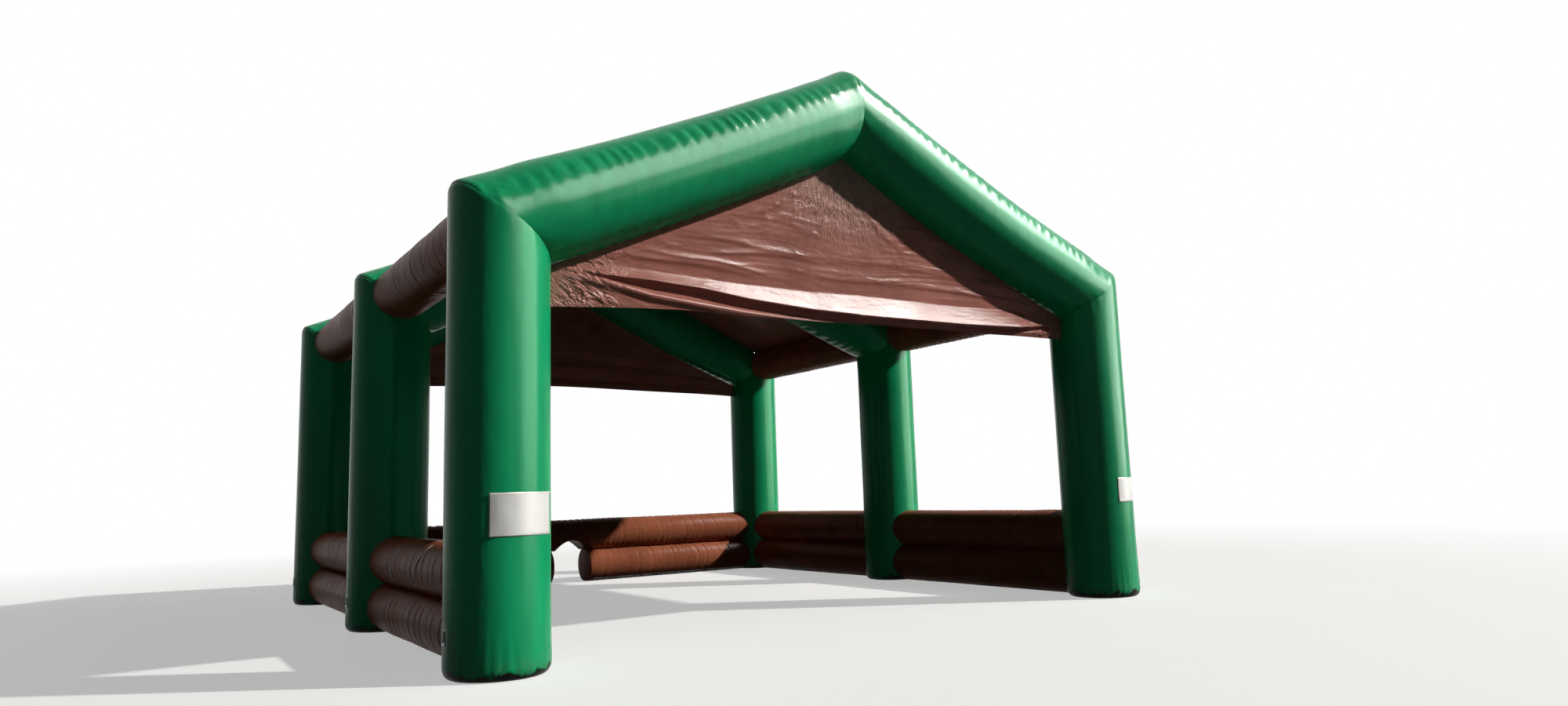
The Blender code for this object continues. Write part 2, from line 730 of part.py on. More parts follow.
def build_sleeve(arches):
    """The inflation sleeve behind the rear right leg, drawn in under its tie strap."""
    frame, cutter = arches[2]
    reach = TUBE_RADIUS + SLEEVE_LENGTH
    neck = reach - TIE_BACK
    low, high = neck - TIE_MARGIN, neck + TIE_WIDTH + TIE_MARGIN
    stations = (
        (0.0, SLEEVE_RADIUS),
        (low - SLEEVE_TAPER, SLEEVE_RADIUS),
        (low, SLEEVE_NECK),
        (high, SLEEVE_NECK),
        (reach - MOUTH_RUN, SLEEVE_RADIUS),
        (reach, SLEEVE_RADIUS + SLEEVE_LIP),
    )
    outer = [ring(BACK * y, BACK, UP, r, SLEEVE_SIDES) for y, r in stations]
    inner = [ring(BACK * y, BACK, UP, r - SKIN, SLEEVE_SIDES) for y, r in stations]
    mesh = loft("inflation_sleeve", outer + inner[::-1], loop=True)
    place = (LEG_X, 0, SLEEVE_Z)
    sleeve = piece("inflation_sleeve", mesh, GREEN, frame, place)
    boolean(sleeve, cutter)
    near = SLEEVE_NECK + GAP
    far = near + TIE_SKIN
    band = [(0, near), (0, far), (TIE_WIDTH, far), (TIE_WIDTH, near)]
    band = [ring(BACK * (neck + y), BACK, UP, r, SLEEVE_SIDES) for y, r in band]
    tie = loft("sleeve_tie_strap", band, loop=True)
    piece("sleeve_tie_strap", tie, WEBBING, frame, place)
    port = [ring(BACK * y, BACK, UP, PORT_RADIUS, SLEEVE_SIDES) for y in PORT_REACH]
    port = helper("air_port_cutter", capped(port, "air_port_cutter"), frame, place)
    boolean(bpy.data.objects["rear_right_leg"], port)


def slotted(half, inside=()):
    """A closed outline, the same on both sides of X = 0, with an optional inner slot."""
    outline = list(half) + [(-x, y) for x, y in reversed(half)]
    outline += [(-x, y) for x, y in reversed(inside)] + list(inside)
    return [Vector((x, y, 0)) for x, y in outline]


def build_zip(arches):
    """The deflation zip on the rear left leg's back: tape with a raised chain, and its slider."""
    frame = arches[2][0]
    base = Vector((-LEG_X, flat_distance(TUBE_RADIUS, TUBE_SIDES) + GAP, ZIP_LOW_Z))
    tape = [
        (TAPE_HALF, 0),
        (TAPE_HALF, TAPE_SKIN),
        (CHAIN_NECK_HALF, TAPE_SKIN),
        (CHAIN_NECK_HALF, CHAIN_LOW),
        (CHAIN_HALF, CHAIN_LOW),
        (CHAIN_HALF, CHAIN_TOP),
    ]
    mesh = prism("deflation_zip", slotted(tape), UP * ZIP_LENGTH)
    piece("deflation_zip", mesh, ZIP, frame, base)
    neck = CHAIN_NECK_HALF + SLIDER_CLEAR
    side = CHAIN_HALF + SLIDER_CLEAR
    low, high = TAPE_SKIN + SLIDER_CLEAR, CHAIN_LOW - SLIDER_CLEAR
    top = CHAIN_TOP + SLIDER_CLEAR
    width, back = CHAIN_HALF + SLIDER_WALL, top + SLIDER_WALL
    shell = [(neck, low), (width, low), (width, back)]
    slot = [(side, top), (side, high), (neck, high)]
    body = prism("zip_slider", slotted(shell, slot), UP * SLIDER_LENGTH)
    place = base + UP * SLIDER_LIFT
    slider = piece("deflation_zip_slider", body, STEEL, frame, place)
    under = back - PULL_SUNK
    tip, root = -PULL_HANG, SLIDER_LENGTH - PULL_SETBACK
    corners = ((-PULL_HALF, tip), (PULL_HALF, tip), (PULL_HALF, root), (-PULL_HALF, root))
    pull = [Vector((x, under, z)) for x, z in corners]
    tag = helper("zip_pull", prism("zip_pull", pull, BACK * PULL_SKIN), frame, place)
    boolean(slider, tag, "UNION")


for old in list(bpy.data.objects):
    bpy.data.objects.remove(old)

GREEN = material("green_vinyl", (0.005, 0.19, 0.075), 0.35)
BROWN = material("brown_vinyl", (0.13, 0.045, 0.02), 0.35)
CANVAS = material("brown_canvas", (0.16, 0.075, 0.06), 0.6)
WHITE = material("white_panel", (0.8, 0.8, 0.8), 0.5)
WEBBING = material("grey_webbing", (0.3, 0.3, 0.33), 0.8)
STEEL = material("zinc_steel", (0.55, 0.56, 0.58), 0.3, 1.0)
ZIP = material("black_zip", (0.02, 0.02, 0.022), 0.6)

the_arches = build_arches()
beam_seats = build_beams(the_arches)
build_side_walls(the_arches)
build_rear_lower(the_arches)
build_rear_upper(the_arches)
build_roof(the_arches, beam_seats)
build_gable_cloth("front_gable_cloth", the_arches[0], front_hem, FRONT_FOLDS, 34, 11, -BILLOW)
build_gable_cloth("rear_gable_cloth", the_arches[2], rear_hem, REAR_FOLDS, 22, 7, BILLOW / 2)
build_panel("left_sign_panel", the_arches[0][0], -LEG_X, LEFT_PANEL)
build_panel("right_sign_panel", the_arches[0][0], LEG_X, RIGHT_PANEL)
build_straps(the_arches)
build_anchors(the_arches)
build_sleeve(the_arches)
build_zip(the_arches)
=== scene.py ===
import json
import math

import bpy
import numpy as np
from mathutils import Matrix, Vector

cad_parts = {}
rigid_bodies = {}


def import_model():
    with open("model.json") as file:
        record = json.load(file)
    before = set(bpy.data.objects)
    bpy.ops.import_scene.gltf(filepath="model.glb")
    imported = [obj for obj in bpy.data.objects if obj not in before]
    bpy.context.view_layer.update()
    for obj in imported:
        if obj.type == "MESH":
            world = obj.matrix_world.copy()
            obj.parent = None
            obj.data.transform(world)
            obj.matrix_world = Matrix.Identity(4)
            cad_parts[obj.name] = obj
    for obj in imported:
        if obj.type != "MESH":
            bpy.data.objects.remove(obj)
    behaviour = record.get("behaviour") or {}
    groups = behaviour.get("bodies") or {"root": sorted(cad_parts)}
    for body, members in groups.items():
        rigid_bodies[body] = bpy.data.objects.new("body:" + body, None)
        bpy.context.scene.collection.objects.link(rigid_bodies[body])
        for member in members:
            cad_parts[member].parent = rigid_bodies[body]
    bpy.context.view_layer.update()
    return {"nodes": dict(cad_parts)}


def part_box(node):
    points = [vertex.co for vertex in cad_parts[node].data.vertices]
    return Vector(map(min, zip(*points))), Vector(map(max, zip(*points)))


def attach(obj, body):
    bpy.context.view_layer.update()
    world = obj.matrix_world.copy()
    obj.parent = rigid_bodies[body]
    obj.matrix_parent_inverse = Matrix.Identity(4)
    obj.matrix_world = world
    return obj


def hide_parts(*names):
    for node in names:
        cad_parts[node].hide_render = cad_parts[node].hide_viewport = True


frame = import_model()
print("frame loaded")


def middleOf(node):
    low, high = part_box(node)
    return (low + high) / 2


# What all pieces share, in metres
arch = {
    "names": ("front", "middle", "rear"),
    "legX": 4.025,  # from the middle of the tent to a leg's axis
    "eaveZ": 4.00,  # where the axes of leg and rafter meet
    "ridgeZ": 5.80,
    "radius": 0.46,
    "swell": 0.03,  # how much fatter a rafter is half way up
    "sag": {"left": 0.025, "right": 0.070},  # how far a rafter's axis hangs below a straight line
    "lift": {"eave": 0.06, "ridge": 0.055},  # how far the outer side is drawn up at a mitre
    "liftReach": {"eave": 1.1, "ridge": 0.5},
    "footRadius": 0.40,
    "footRise": 0.10,
    "sewnIn": 0.012,  # how far a piece runs into the tube that it is sewn to
}
legX = arch["legX"]
archY = {name: middleOf(f"{name}_right_leg").y for name in arch["names"]}
pitch = math.atan2(arch["ridgeZ"] - arch["eaveZ"], legX)
bends = {"eave": math.pi / 2 - pitch, "ridge": 2 * pitch}
rafterLength = math.hypot(arch["ridgeZ"] - arch["eaveZ"], legX)
up = np.array((0.0, 0.0, 1.0))
left = np.array((-1.0, 0.0, 0.0))
back = np.array((0.0, 1.0, 0.0))
slope = np.array((math.cos(pitch), 0.0, math.sin(pitch)))
above = np.array((-math.sin(pitch), 0.0, math.cos(pitch)))
eaveCut = (up + slope) / np.linalg.norm(up + slope)
ridgeCut = -left
full = 2 * math.pi


def softNoise(a, b, seed, period=512):
    # Value noise: random heights at whole numbers of a and b, eased in between.
    # b comes round again after period.
    heights = np.random.default_rng(seed).uniform(-1, 1, (512, period))
    a, b = np.broadcast_arrays(np.asarray(a, float), np.asarray(b, float))
    i, j = np.floor(a).astype(int), np.floor(b).astype(int)
    f, g = a - i, b - j
    f, g = f * f * (3 - 2 * f), g * g * (3 - 2 * g)
    near = heights[i % 512, j % period] * (1 - f) + heights[(i + 1) % 512, j % period] * f
    far = heights[i % 512, (j + 1) % period] * (1 - f) + heights[(i + 1) % 512, (j + 1) % period] * f
    return near * (1 - g) + far * g


def eased(value, low, high):
    # 0 below low, 1 above high, and a smooth S between them.
    share = np.clip((value - low) / (high - low), 0, 1)
    return share * share * (3 - 2 * share)


def bell(value, width):
    return np.exp(-((value / width) ** 2))


def apart(turn, other):
    # The angle between two turns, from -pi to pi.
    return (turn - other + math.pi) % full - math.pi


def sagAt(reach, onRight):
    # How far a rafter's axis hangs: half a wave from mitre to mitre.
    sag = np.where(onRight, arch["sag"]["right"], arch["sag"]["left"])
    return sag * np.sin(math.pi * np.clip(reach / rafterLength, 0, 1))


def liftAt(turn, away, end):
    # How far the outer side is drawn up near a mitre: a bell along the tube.
    return arch["lift"][end] * np.clip(np.cos(turn), 0, 1) ** 2 * bell(away, arch["liftReach"][end])


def swellAt(reach):
    # How much fatter a rafter is: even for most of its length and gone at the mitres.
    share = np.clip(reach / rafterLength, 0, 1)
    end = rafterLength * np.minimum(share, 1 - share)
    return arch["swell"] * (1 - 0.5 * (2 * share - 1) ** 4) * eased(end, 0, 0.5)


def surface(name, points, uv, wrap=False, caps=(), crease=50):
    # A mesh over rows and columns of points, with its UV map in metres. It closes on itself
    # round the columns if wrap is set. Each cap, as (row, point), is a fan that shuts an end.
    rows, columns = points.shape[:2]
    span = columns if wrap else columns - 1
    r, c = np.meshgrid(np.arange(rows - 1), np.arange(span), indexing="ij")
    r, c = r.ravel(), c.ravel()
    rowOf = np.stack([r, r, r + 1, r + 1], 1).ravel()
    columnOf = np.stack([c, c + 1, c + 1, c], 1).ravel()
    corners = [rowOf * columns + columnOf % columns]
    uvs = [uv[rowOf, columnOf]]
    sizes = [np.full(len(r), 4)]
    extra = []
    for row, tip in caps:
        j = np.arange(columns)
        turned = (j + 1, j) if row == 0 else (j, j + 1)
        centre = rows * columns + len(extra)
        fan = np.stack([row * columns + turned[0] % columns, row * columns + turned[1] % columns,
                        np.full(columns, centre)], 1)
        rim = points[row] - tip
        flat = np.linalg.norm(rim, axis=1)
        around = full * j / columns
        ring = np.stack([flat * np.cos(around), flat * np.sin(around)], 1)
        ring = np.concatenate([ring, ring[:1]])
        corners.append(fan.ravel())
        uvs.append(np.stack([ring[turned[0]], ring[turned[1]], np.zeros((columns, 2))], 1).reshape(-1, 2))
        sizes.append(np.full(columns, 3))
        extra.append(tip)
    everyPoint = np.concatenate([points.reshape(-1, 3)] + [np.array(extra).reshape(-1, 3)])
    corners, uvs, sizes = np.concatenate(corners), np.concatenate(uvs), np.concatenate(sizes)
    starts = np.concatenate([[0], np.cumsum(sizes)[:-1]])
    if caps and signedVolume(everyPoint, corners, starts, sizes) < 0:
        order = np.concatenate([np.arange(s + n - 1, s - 1, -1) for s, n in zip(starts, sizes)])
        corners, uvs = corners[order], uvs[order]
    mesh = bpy.data.meshes.new(name)
    mesh.vertices.add(len(everyPoint))
    mesh.vertices.foreach_set("co", everyPoint.astype(np.float32).ravel())
    mesh.loops.add(len(corners))
    mesh.loops.foreach_set("vertex_index", corners.astype(np.int32))
    mesh.polygons.add(len(sizes))
    mesh.polygons.foreach_set("loop_start", starts.astype(np.int32))
    mesh.polygons.foreach_set("loop_total", sizes.astype(np.int32))
    mesh.update(calc_edges=True)
    layer = mesh.uv_layers.new(name="metres")
    layer.data.foreach_set("uv", uvs.astype(np.float32).ravel())
    mesh.validate()
    mesh.shade_smooth()
    mesh.set_sharp_from_angle(angle=math.radians(crease))
    piece = bpy.data.objects.new(name, mesh)
    bpy.context.scene.collection.objects.link(piece)
    return piece


def tube(name, points, uv, crease=50, firstTip=None):
    # Rings joined into a tube, with a fan at each end to the ring's middle or to firstTip.
    first = points[0].mean(axis=0) if firstTip is None else firstTip
    caps = [(0, first), (len(points) - 1, points[-1].mean(axis=0))]
    return surface(name, points, uv, wrap=True, caps=caps, crease=crease)


def turnsOf(count):
    return np.arange(count) * full / count


def endShares(span, step, margin=0.3):
    # Even steps along a tube, closer together near both ends.
    near = np.linspace(0, margin / span, 16)
    middle = np.linspace(margin / span, 1 - margin / span, max(3, round((span - 2 * margin) / step)))[1:-1]
    return np.concatenate([near, middle, 1 - near[::-1]])[:, None]


def ringMetres(turn, radius, reach):
    # Distances round a tube and along it.
    around = np.append(turn, full) * radius
    return np.stack(np.broadcast_arrays(around[None, :], reach), 2)


def outwards(turn, top):
    # The way from a tube's axis to its skin: top at no turn, and the front a quarter further.
    return np.outer(np.cos(turn), top) + np.outer(np.sin(turn), -back)


def onSide(side, x, y, z):
    # Points of a piece that is worked out for the left side, mirrored for the right.
    return np.stack(np.broadcast_arrays(x if side == "left" else -x, y, z), -1)


def signedVolume(points, corners, starts, sizes):
    # Sum of the tetrahedra from the origin to each face, split into triangles.
    first = points[corners[starts]]
    total = 0.0
    for step in (1, 2):
        wide = sizes > step + 1
        b, c = points[corners[starts[wide] + step]], points[corners[starts[wide] + step + 1]]
        total += np.einsum("ij,ij->i", first[wide], np.cross(b, c)).sum()
    return total


def thicken(piece, thickness):
    modifier = piece.modifiers.new("cloth", "SOLIDIFY")
    modifier.thickness = thickness
    modifier.offset = 0


def dress(piece, material, nodes=(), body="tent"):
    # Gives a finished piece its material and its body, and hides the nodes that it stands for.
    piece.data.materials.append(material)
    if nodes:
        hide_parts(*nodes)
    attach(piece, body)
    return piece


def refinish(node, material):
    # A CAD node that is shown as it is gets a material of its own.
    frame["nodes"][node].data.materials.clear()
    frame["nodes"][node].data.materials.append(material)


def plug(tree, socket, value):
    # Links an output into a shader node's socket, or sets the socket's own value.
    if isinstance(value, bpy.types.NodeSocket):
        tree.links.new(value, socket)
    else:
        socket.default_value = value


def add(tree, kind, sockets=None, **settings):
    made = tree.nodes.new("ShaderNode" + kind)
    for key, value in settings.items():
        setattr(made, key, value)
    for key, value in (sockets or {}).items():
        plug(tree, made.inputs[key], value)
    return made


def calc(tree, operation, *values, clamp=False):
    return add(tree, "Math", dict(enumerate(values)), operation=operation, use_clamp=clamp).outputs[0]


def product(tree, first, *others):
    for other in others:
        first = calc(tree, "MULTIPLY", first, other)
    return first


def ridged(tree, value, sharpness=5.0):
    # 1 where a noise passes its middle, and soon 0 on both sides of that line.
    away = calc(tree, "ABSOLUTE", calc(tree, "SUBTRACT", value, 0.5))
    return lessThanOne(tree, product(tree, away, sharpness))


def mix(tree, share, first, second):
    return add(tree, "Mix", {0: share, 6: first, 7: second}, data_type="RGBA").outputs[2]


def spread(tree, value, fromLow, fromHigh, toLow, toHigh):
    return add(tree, "MapRange", {"Value": value, "From Min": fromLow, "From Max": fromHigh,
                                  "To Min": toLow, "To Max": toHigh}).outputs[0]


def noiseSpread(tree, value, low, high):
    # A noise hardly leaves 0.3 to 0.7, so that part of it is spread over the whole range.
    return spread(tree, value, 0.3, 0.7, low, high)


def splitAxes(tree, vector):
    return add(tree, "SeparateXYZ", {0: vector}).outputs


def sineOf(tree, value, length):
    # A sine wave that comes round each length.
    return calc(tree, "SINE", calc(tree, "MULTIPLY", value, full / length))


def noiseAt(tree, vector, scale, detail, distortion=0.0):
    return add(tree, "TexNoise", {"Vector": vector, "Scale": scale, "Detail": detail,
                                  "Distortion": distortion}).outputs[0]


def lessThanOne(tree, value):
    # What is left of 1, and never below 0.
    return calc(tree, "SUBTRACT", 1.0, value, clamp=True)


def effect(name, inputs, outputs):
    # An empty node group. A float makes a float socket, four numbers a colour and anything
    # else a vector; an output is a float unless it is called Color.
    group = bpy.data.node_groups.new(name, "ShaderNodeTree")
    for label, value in inputs.items():
        kind = "Float" if isinstance(value, float) else "Color" if value and len(value) == 4 else "Vector"
        socket = group.interface.new_socket(label, in_out="INPUT", socket_type="NodeSocket" + kind)
        if value is not None:
            socket.default_value = value
    for label in outputs:
        kind = "Color" if label == "Color" else "Float"
        group.interface.new_socket(label, in_out="OUTPUT", socket_type="NodeSocket" + kind)
    return group, group.nodes.new("NodeGroupInput").outputs, group.nodes.new("NodeGroupOutput").inputs


def finishEffect(group, result, **values):
    for label, value in values.items():
        group.links.new(value, result[label])
    return group


def use(tree, group, sockets):
    made = add(tree, "Group", node_tree=group)
    for key, value in sockets.items():
        plug(tree, made.inputs[key], value)
    return made.outputs


def makeFade():
    # Sun-bleached and darker patches, and long faint streaks down the cloth.
    group, given, result = effect("sun fade", {"Color": (1, 1, 1, 1), "Position": None, "Patch": 0.8,
                                               "Strength": 0.1, "Streaks": 0.05}, ("Color", "Mask"))
    patches = noiseAt(group, given["Position"], calc(group, "DIVIDE", 1.0, given["Patch"]), 3.0)
    squeeze = add(group, "VectorMath", {0: given["Position"], 1: (9.0, 9.0, 0.5)}, operation="MULTIPLY")
    streaks = noiseAt(group, squeeze.outputs[0], 1.0, 2.0)
    patch = product(group, noiseSpread(group, patches, -1.0, 1.0), given["Strength"])
    streak = product(group, noiseSpread(group, streaks, -1.0, 1.0), given["Streaks"])
    value = calc(group, "ADD", 1.0, calc(group, "ADD", patch, streak))
    tinted = add(group, "HueSaturation", {"Value": value, "Color": given["Color"]})
    return finishEffect(group, result, Color=tinted.outputs[0], Mask=patches)


def makeDustAndShade():
    # Splashed soil that thins out with height above the ground, dust in fine specks, and painted
    # shade: a near-black band with a ragged upper edge along the ground itself.
    group, given, result = effect(
        "ground dust and shade", {"Color": (1, 1, 1, 1), "Dust": (0.09, 0.075, 0.05, 1), "Position": None,
                        "Height": 0.3, "Amount": 0.6, "ShadeBand": 0.0}, ("Color", "Mask"))
    z = splitAxes(group, given["Position"])[2]
    low = lessThanOne(group, calc(group, "DIVIDE", z, given["Height"]))
    specks = spread(group, noiseAt(group, given["Position"], 14.0, 6.0), 0.35, 0.62, 0.0, 1.0)
    mask = product(group, low, low, specks, given["Amount"])
    ragged = noiseSpread(group, noiseAt(group, given["Position"], 9.0, 4.0), 0.4, 1.7)
    edge = product(group, given["ShadeBand"], ragged)
    # Painted shade: under the ragged edge the colour goes near black, for the shaded underside at the ground.
    groundShade = calc(group, "DIVIDE", calc(group, "SUBTRACT", edge, z), 0.025, clamp=True)
    soiled = mix(group, mask, given["Color"], given["Dust"])
    return finishEffect(group, result, Color=mix(group, groundShade, soiled, (0.004, 0.006, 0.004, 1)), Mask=mask)


def makeWeave():
    # Height of a plain weave under its coating, threads along both ways of the UV map.
    group, given, result = effect("scrim weave", {"Metres": None, "Thread": 0.003}, ("Height",))
    turns = calc(group, "DIVIDE", full, given["Thread"])
    both = splitAxes(group, given["Metres"])[:2]
    waves = [calc(group, "SINE", product(group, axis, turns)) for axis in both]
    return finishEffect(group, result, Height=product(group, *waves))


def makeCrinkle():
    # Height of small random creases: thin ridges where a stretched noise crosses its middle.
    group, given, result = effect(
        "crinkle", {"Position": None, "Size": 0.1, "Stretch": (1, 1, 1)}, ("Height",))
    squeezed = add(group, "VectorMath", {0: given["Position"], 1: given["Stretch"]}, operation="MULTIPLY")
    noise = noiseAt(group, squeezed.outputs[0], calc(group, "DIVIDE", 1.0, given["Size"]), 3.0, 0.6)
    return finishEffect(group, result, Height=ridged(group, noise))


def makePulled():
    # Height of fine creases that radiate from a corner: a noise over the direction seen from
    # there, that fades away with distance.
    group, given, result = effect(
        "pulled creases", {"Across": 0.0, "Up": 0.0, "Count": 20.0, "Reach": 1.0}, ("Height", "Near"))
    squares = [product(group, given[way], given[way]) for way in ("Across", "Up")]
    away = calc(group, "SQRT", calc(group, "ADD", *squares))
    turn = product(group, calc(group, "ARCTAN2", given["Across"], given["Up"]), given["Count"])
    spot = add(group, "CombineXYZ", {0: turn, 1: product(group, away, 5.0)}).outputs[0]
    ridges = ridged(group, noiseAt(group, spot, 1.0, 2.0, 1.3))
    near = lessThanOne(group, calc(group, "DIVIDE", away, given["Reach"]))
    return finishEffect(group, result, Height=product(group, ridges, near), Near=near)


def makeStitch():
    # A dashed line of thread where Across is nearly 0, with a stitch each Pitch of Along.
    group, given, result = effect(
        "stitch line", {"Along": 0.0, "Across": 0.0, "Pitch": 0.008, "Width": 0.0012}, ("Mask",))
    near = calc(group, "LESS_THAN", calc(group, "ABSOLUTE", given["Across"]), given["Width"])
    share = calc(group, "FRACT", calc(group, "DIVIDE", given["Along"], given["Pitch"]))
    dash = calc(group, "LESS_THAN", share, 0.68)  # thread on that share of each pitch
    return finishEffect(group, result, Mask=product(group, near, dash))


fade, dust, weave, crinkle, pulled, stitch = (
    make() for make in (makeFade, makeDustAndShade, makeWeave, makeCrinkle, makePulled, makeStitch))


def newMaterial(name):
    # A material's tree, its shader, and its positions and UV metres.
    made = bpy.data.materials.new(name)
    made.use_nodes = True
    tree = made.node_tree
    shader = tree.nodes["Principled BSDF"]
    spots = add(tree, "TexCoord").outputs
    return made, tree, shader, spots["Object"], spots["UV"]


def bumpBy(tree, shader, heights):
    # Chains bumps, each as (height, metres, strength), into the shader's normal.
    normal = None
    for height, distance, strength in heights:
        bump = add(tree, "Bump", {"Height": height, "Distance": distance, "Strength": strength})
        if normal is not None:
            tree.links.new(normal, bump.inputs["Normal"])
        normal = bump.outputs[0]
    tree.links.new(normal, shader.inputs["Normal"])


def fadedBy(tree, look, place):
    # The look's colour after years of sun, and the mask of its patches.
    return use(tree, fade, {"Color": (*look["color"], 1), "Position": place, "Patch": look["patch"],
                            "Strength": look["fade"], "Streaks": look["streaks"]})


def creasesOf(tree, place, size, stretch):
    return use(tree, crinkle, {"Position": place, "Size": size, "Stretch": stretch})["Height"]


def finishShader(tree, shader, color, roughness, specular):
    plug(tree, shader.inputs["Base Color"], color)
    plug(tree, shader.inputs["Roughness"], roughness)
    shader.inputs["Specular IOR Level"].default_value = specular


def coatedCloth(name, look):
    # Heavy vinyl-coated cloth: faded patches, streaks, dust and painted shade at the ground, weave and small
    # creases.
    made, tree, shader, place, metres = newMaterial(name)
    faded = fadedBy(tree, look, place)
    dustAndShade = use(tree, dust, {"Color": faded["Color"], "Position": place, "Height": look["dustHeight"],
                             "Amount": look["dust"], "ShadeBand": look["groundShade"]})
    roughness = calc(tree, "ADD", noiseSpread(tree, faded["Mask"], *look["roughness"]),
                     product(tree, dustAndShade["Mask"], look["dustDull"]), clamp=True)
    finishShader(tree, shader, dustAndShade["Color"], roughness, look["specular"])
    threads = use(tree, weave, {"Metres": metres, "Thread": look["thread"]})["Height"]
    creases = creasesOf(tree, place, look["crease"], look["stretch"])
    bumpBy(tree, shader, [(threads, 0.0001, 0.12), (creases, look["creaseDepth"], 0.35)])
    return made


# groundShade sets how high the painted shade band along the ground reaches, in metres.
greenLook = {
    "color": (0.005, 0.40, 0.155), "patch": 1.3, "fade": 0.10, "streaks": 0.10, "dust": 0.5,
    "dustHeight": 0.30, "dustDull": 0.35, "groundShade": 0.075, "roughness": (0.20, 0.28), "specular": 0.06,
    "thread": 0.003, "crease": 0.22, "creaseDepth": 0.0028, "stretch": (1.0, 1.0, 0.45),
}
brownLook = {
    "color": (0.33, 0.105, 0.055), "patch": 0.7, "fade": 0.16, "streaks": 0.06, "dust": 0.7,
    "dustHeight": 0.22, "dustDull": 0.35, "groundShade": 0.03, "roughness": (0.28, 0.36), "specular": 0.012,
    "thread": 0.003, "crease": 0.12, "creaseDepth": 0.006, "stretch": (1.0, 1.0, 0.6),
}
canvasLook = {
    "color": (0.38, 0.145, 0.115), "patch": 0.5, "fade": 0.14, "streaks": 0.03, "roughness": (0.28, 0.36),
    "specular": 0.055, "thread": 0.0018, "crease": 0.06, "creaseDepth": 0.0022, "hem": 0.035,
    "hemTone": 0.88, "stitchColor": (0.42, 0.26, 0.2), "stitch": (0.009, 0.002),  # its pitch and width
    # Painted sheen: a pale colour that stands in for glints off crinkled cloth, near a pulled corner and on
    # its creases.
    "sheenColor": (0.66, 0.45, 0.40), "paintedSheen": (0.45, 0.75),  # near a pulled corner, and on its creases
}
# Creases pulled at a gable's peak and at its eaves, as (x, z, count, reach, depth, how much painted sheen)
gablePulls = ((0.0, 5.36, 15.0, 1.25, 0.030, 1.0), (3.66, 3.74, 6.0, 1.0, 0.045, 0.2))
panelLook = {
    "color": (0.88, 0.89, 0.88), "patch": 0.2, "fade": 0.03, "streaks": 0.02, "roughness": (0.32, 0.45),
    "specular": 0.2, "crease": 0.12, "stretch": (1, 1, 0.5), "creaseDepth": 0.002, "border": 0.012,
    "dirtColor": (0.48, 0.46, 0.42), "dirt": 0.35, "dirtWidth": 0.03, "stitchColor": (0.6, 0.6, 0.6),
    "stitch": (0.007, 0.0011),
}
webbingLook = {
    "color": (0.30, 0.30, 0.33), "patch": 0.1, "fade": 0.12, "streaks": 0.05, "specular": 0.15,
    "rib": 0.0022, "edgeRib": 0.00352, "tone": (0.75, 1.1), "roughness": (0.85, 0.6), "dust": 0.5,
    "dustHeight": 0.5, "ribDepth": 0.0004,
}
paleLook = {**webbingLook, "color": (0.72, 0.72, 0.74), "specular": 0.7}
zipLook = {"middleX": -legX, "chainHalf": 0.0045, "tooth": 0.0035, "knit": 0.0012, "depth": 0.0006}


def stitches(tree, look, along, across):
    pitch, width = look["stitch"]
    return use(tree, stitch, {"Along": along, "Across": across, "Pitch": pitch, "Width": width})["Mask"]


def wovenCloth(name, look, pulls=()):
    # Light coated canvas: fine weave, small sharp creases at two sizes and a stitched hem. At
    # a gable, creases are pulled from the peak and, mirrored, from both eaves, and a painted sheen
    # pales the cloth near those corners and on their creases.
    made, tree, shader, place, metres = newMaterial(name)
    faded = fadedBy(tree, look, place)
    along, fromHem = splitAxes(tree, metres)[:2]
    threads = stitches(tree, look, along, calc(tree, "SUBTRACT", fromHem, look["hem"]))
    doubled = calc(tree, "LESS_THAN", fromHem, look["hem"])
    darker = add(tree, "HueSaturation", {"Value": look["hemTone"], "Color": faded["Color"]}).outputs[0]
    cloth = mix(tree, doubled, faded["Color"], darker)
    weaveHeight = use(tree, weave, {"Metres": metres, "Thread": look["thread"]})["Height"]
    small = creasesOf(tree, place, look["crease"], (1, 1, 1))
    large = creasesOf(tree, place, look["crease"] * 4, (0.6, 1, 1.4))
    heights = [(weaveHeight, 0.0001, 0.15), (small, look["creaseDepth"], 0.3),
               (large, look["creaseDepth"] * 2.5, 0.35), (threads, 0.001, 0.5)]
    axes = splitAxes(tree, place)
    for cornerX, cornerZ, count, reach, depth, paintedSheen in pulls:
        x = calc(tree, "ABSOLUTE", axes[0]) if cornerX else axes[0]
        fine = use(tree, pulled, {"Across": calc(tree, "SUBTRACT", x, cornerX),
                                  "Up": calc(tree, "SUBTRACT", axes[2], cornerZ),
                                  "Count": count, "Reach": reach})
        heights.append((fine["Height"], depth, 0.8))
        # Painted sheen: the cloth is mixed towards a pale colour near each corner and along its creases.
        sheenShare = [product(tree, fine[where], amount * paintedSheen)
                for where, amount in zip(("Near", "Height"), look["paintedSheen"])]
        cloth = mix(tree, calc(tree, "ADD", *sheenShare, clamp=True), cloth, (*look["sheenColor"], 1))
    finishShader(tree, shader, mix(tree, threads, cloth, (*look["stitchColor"], 1)),
                 noiseSpread(tree, faded["Mask"], *look["roughness"]), look["specular"])
    bumpBy(tree, shader, heights)
    return made


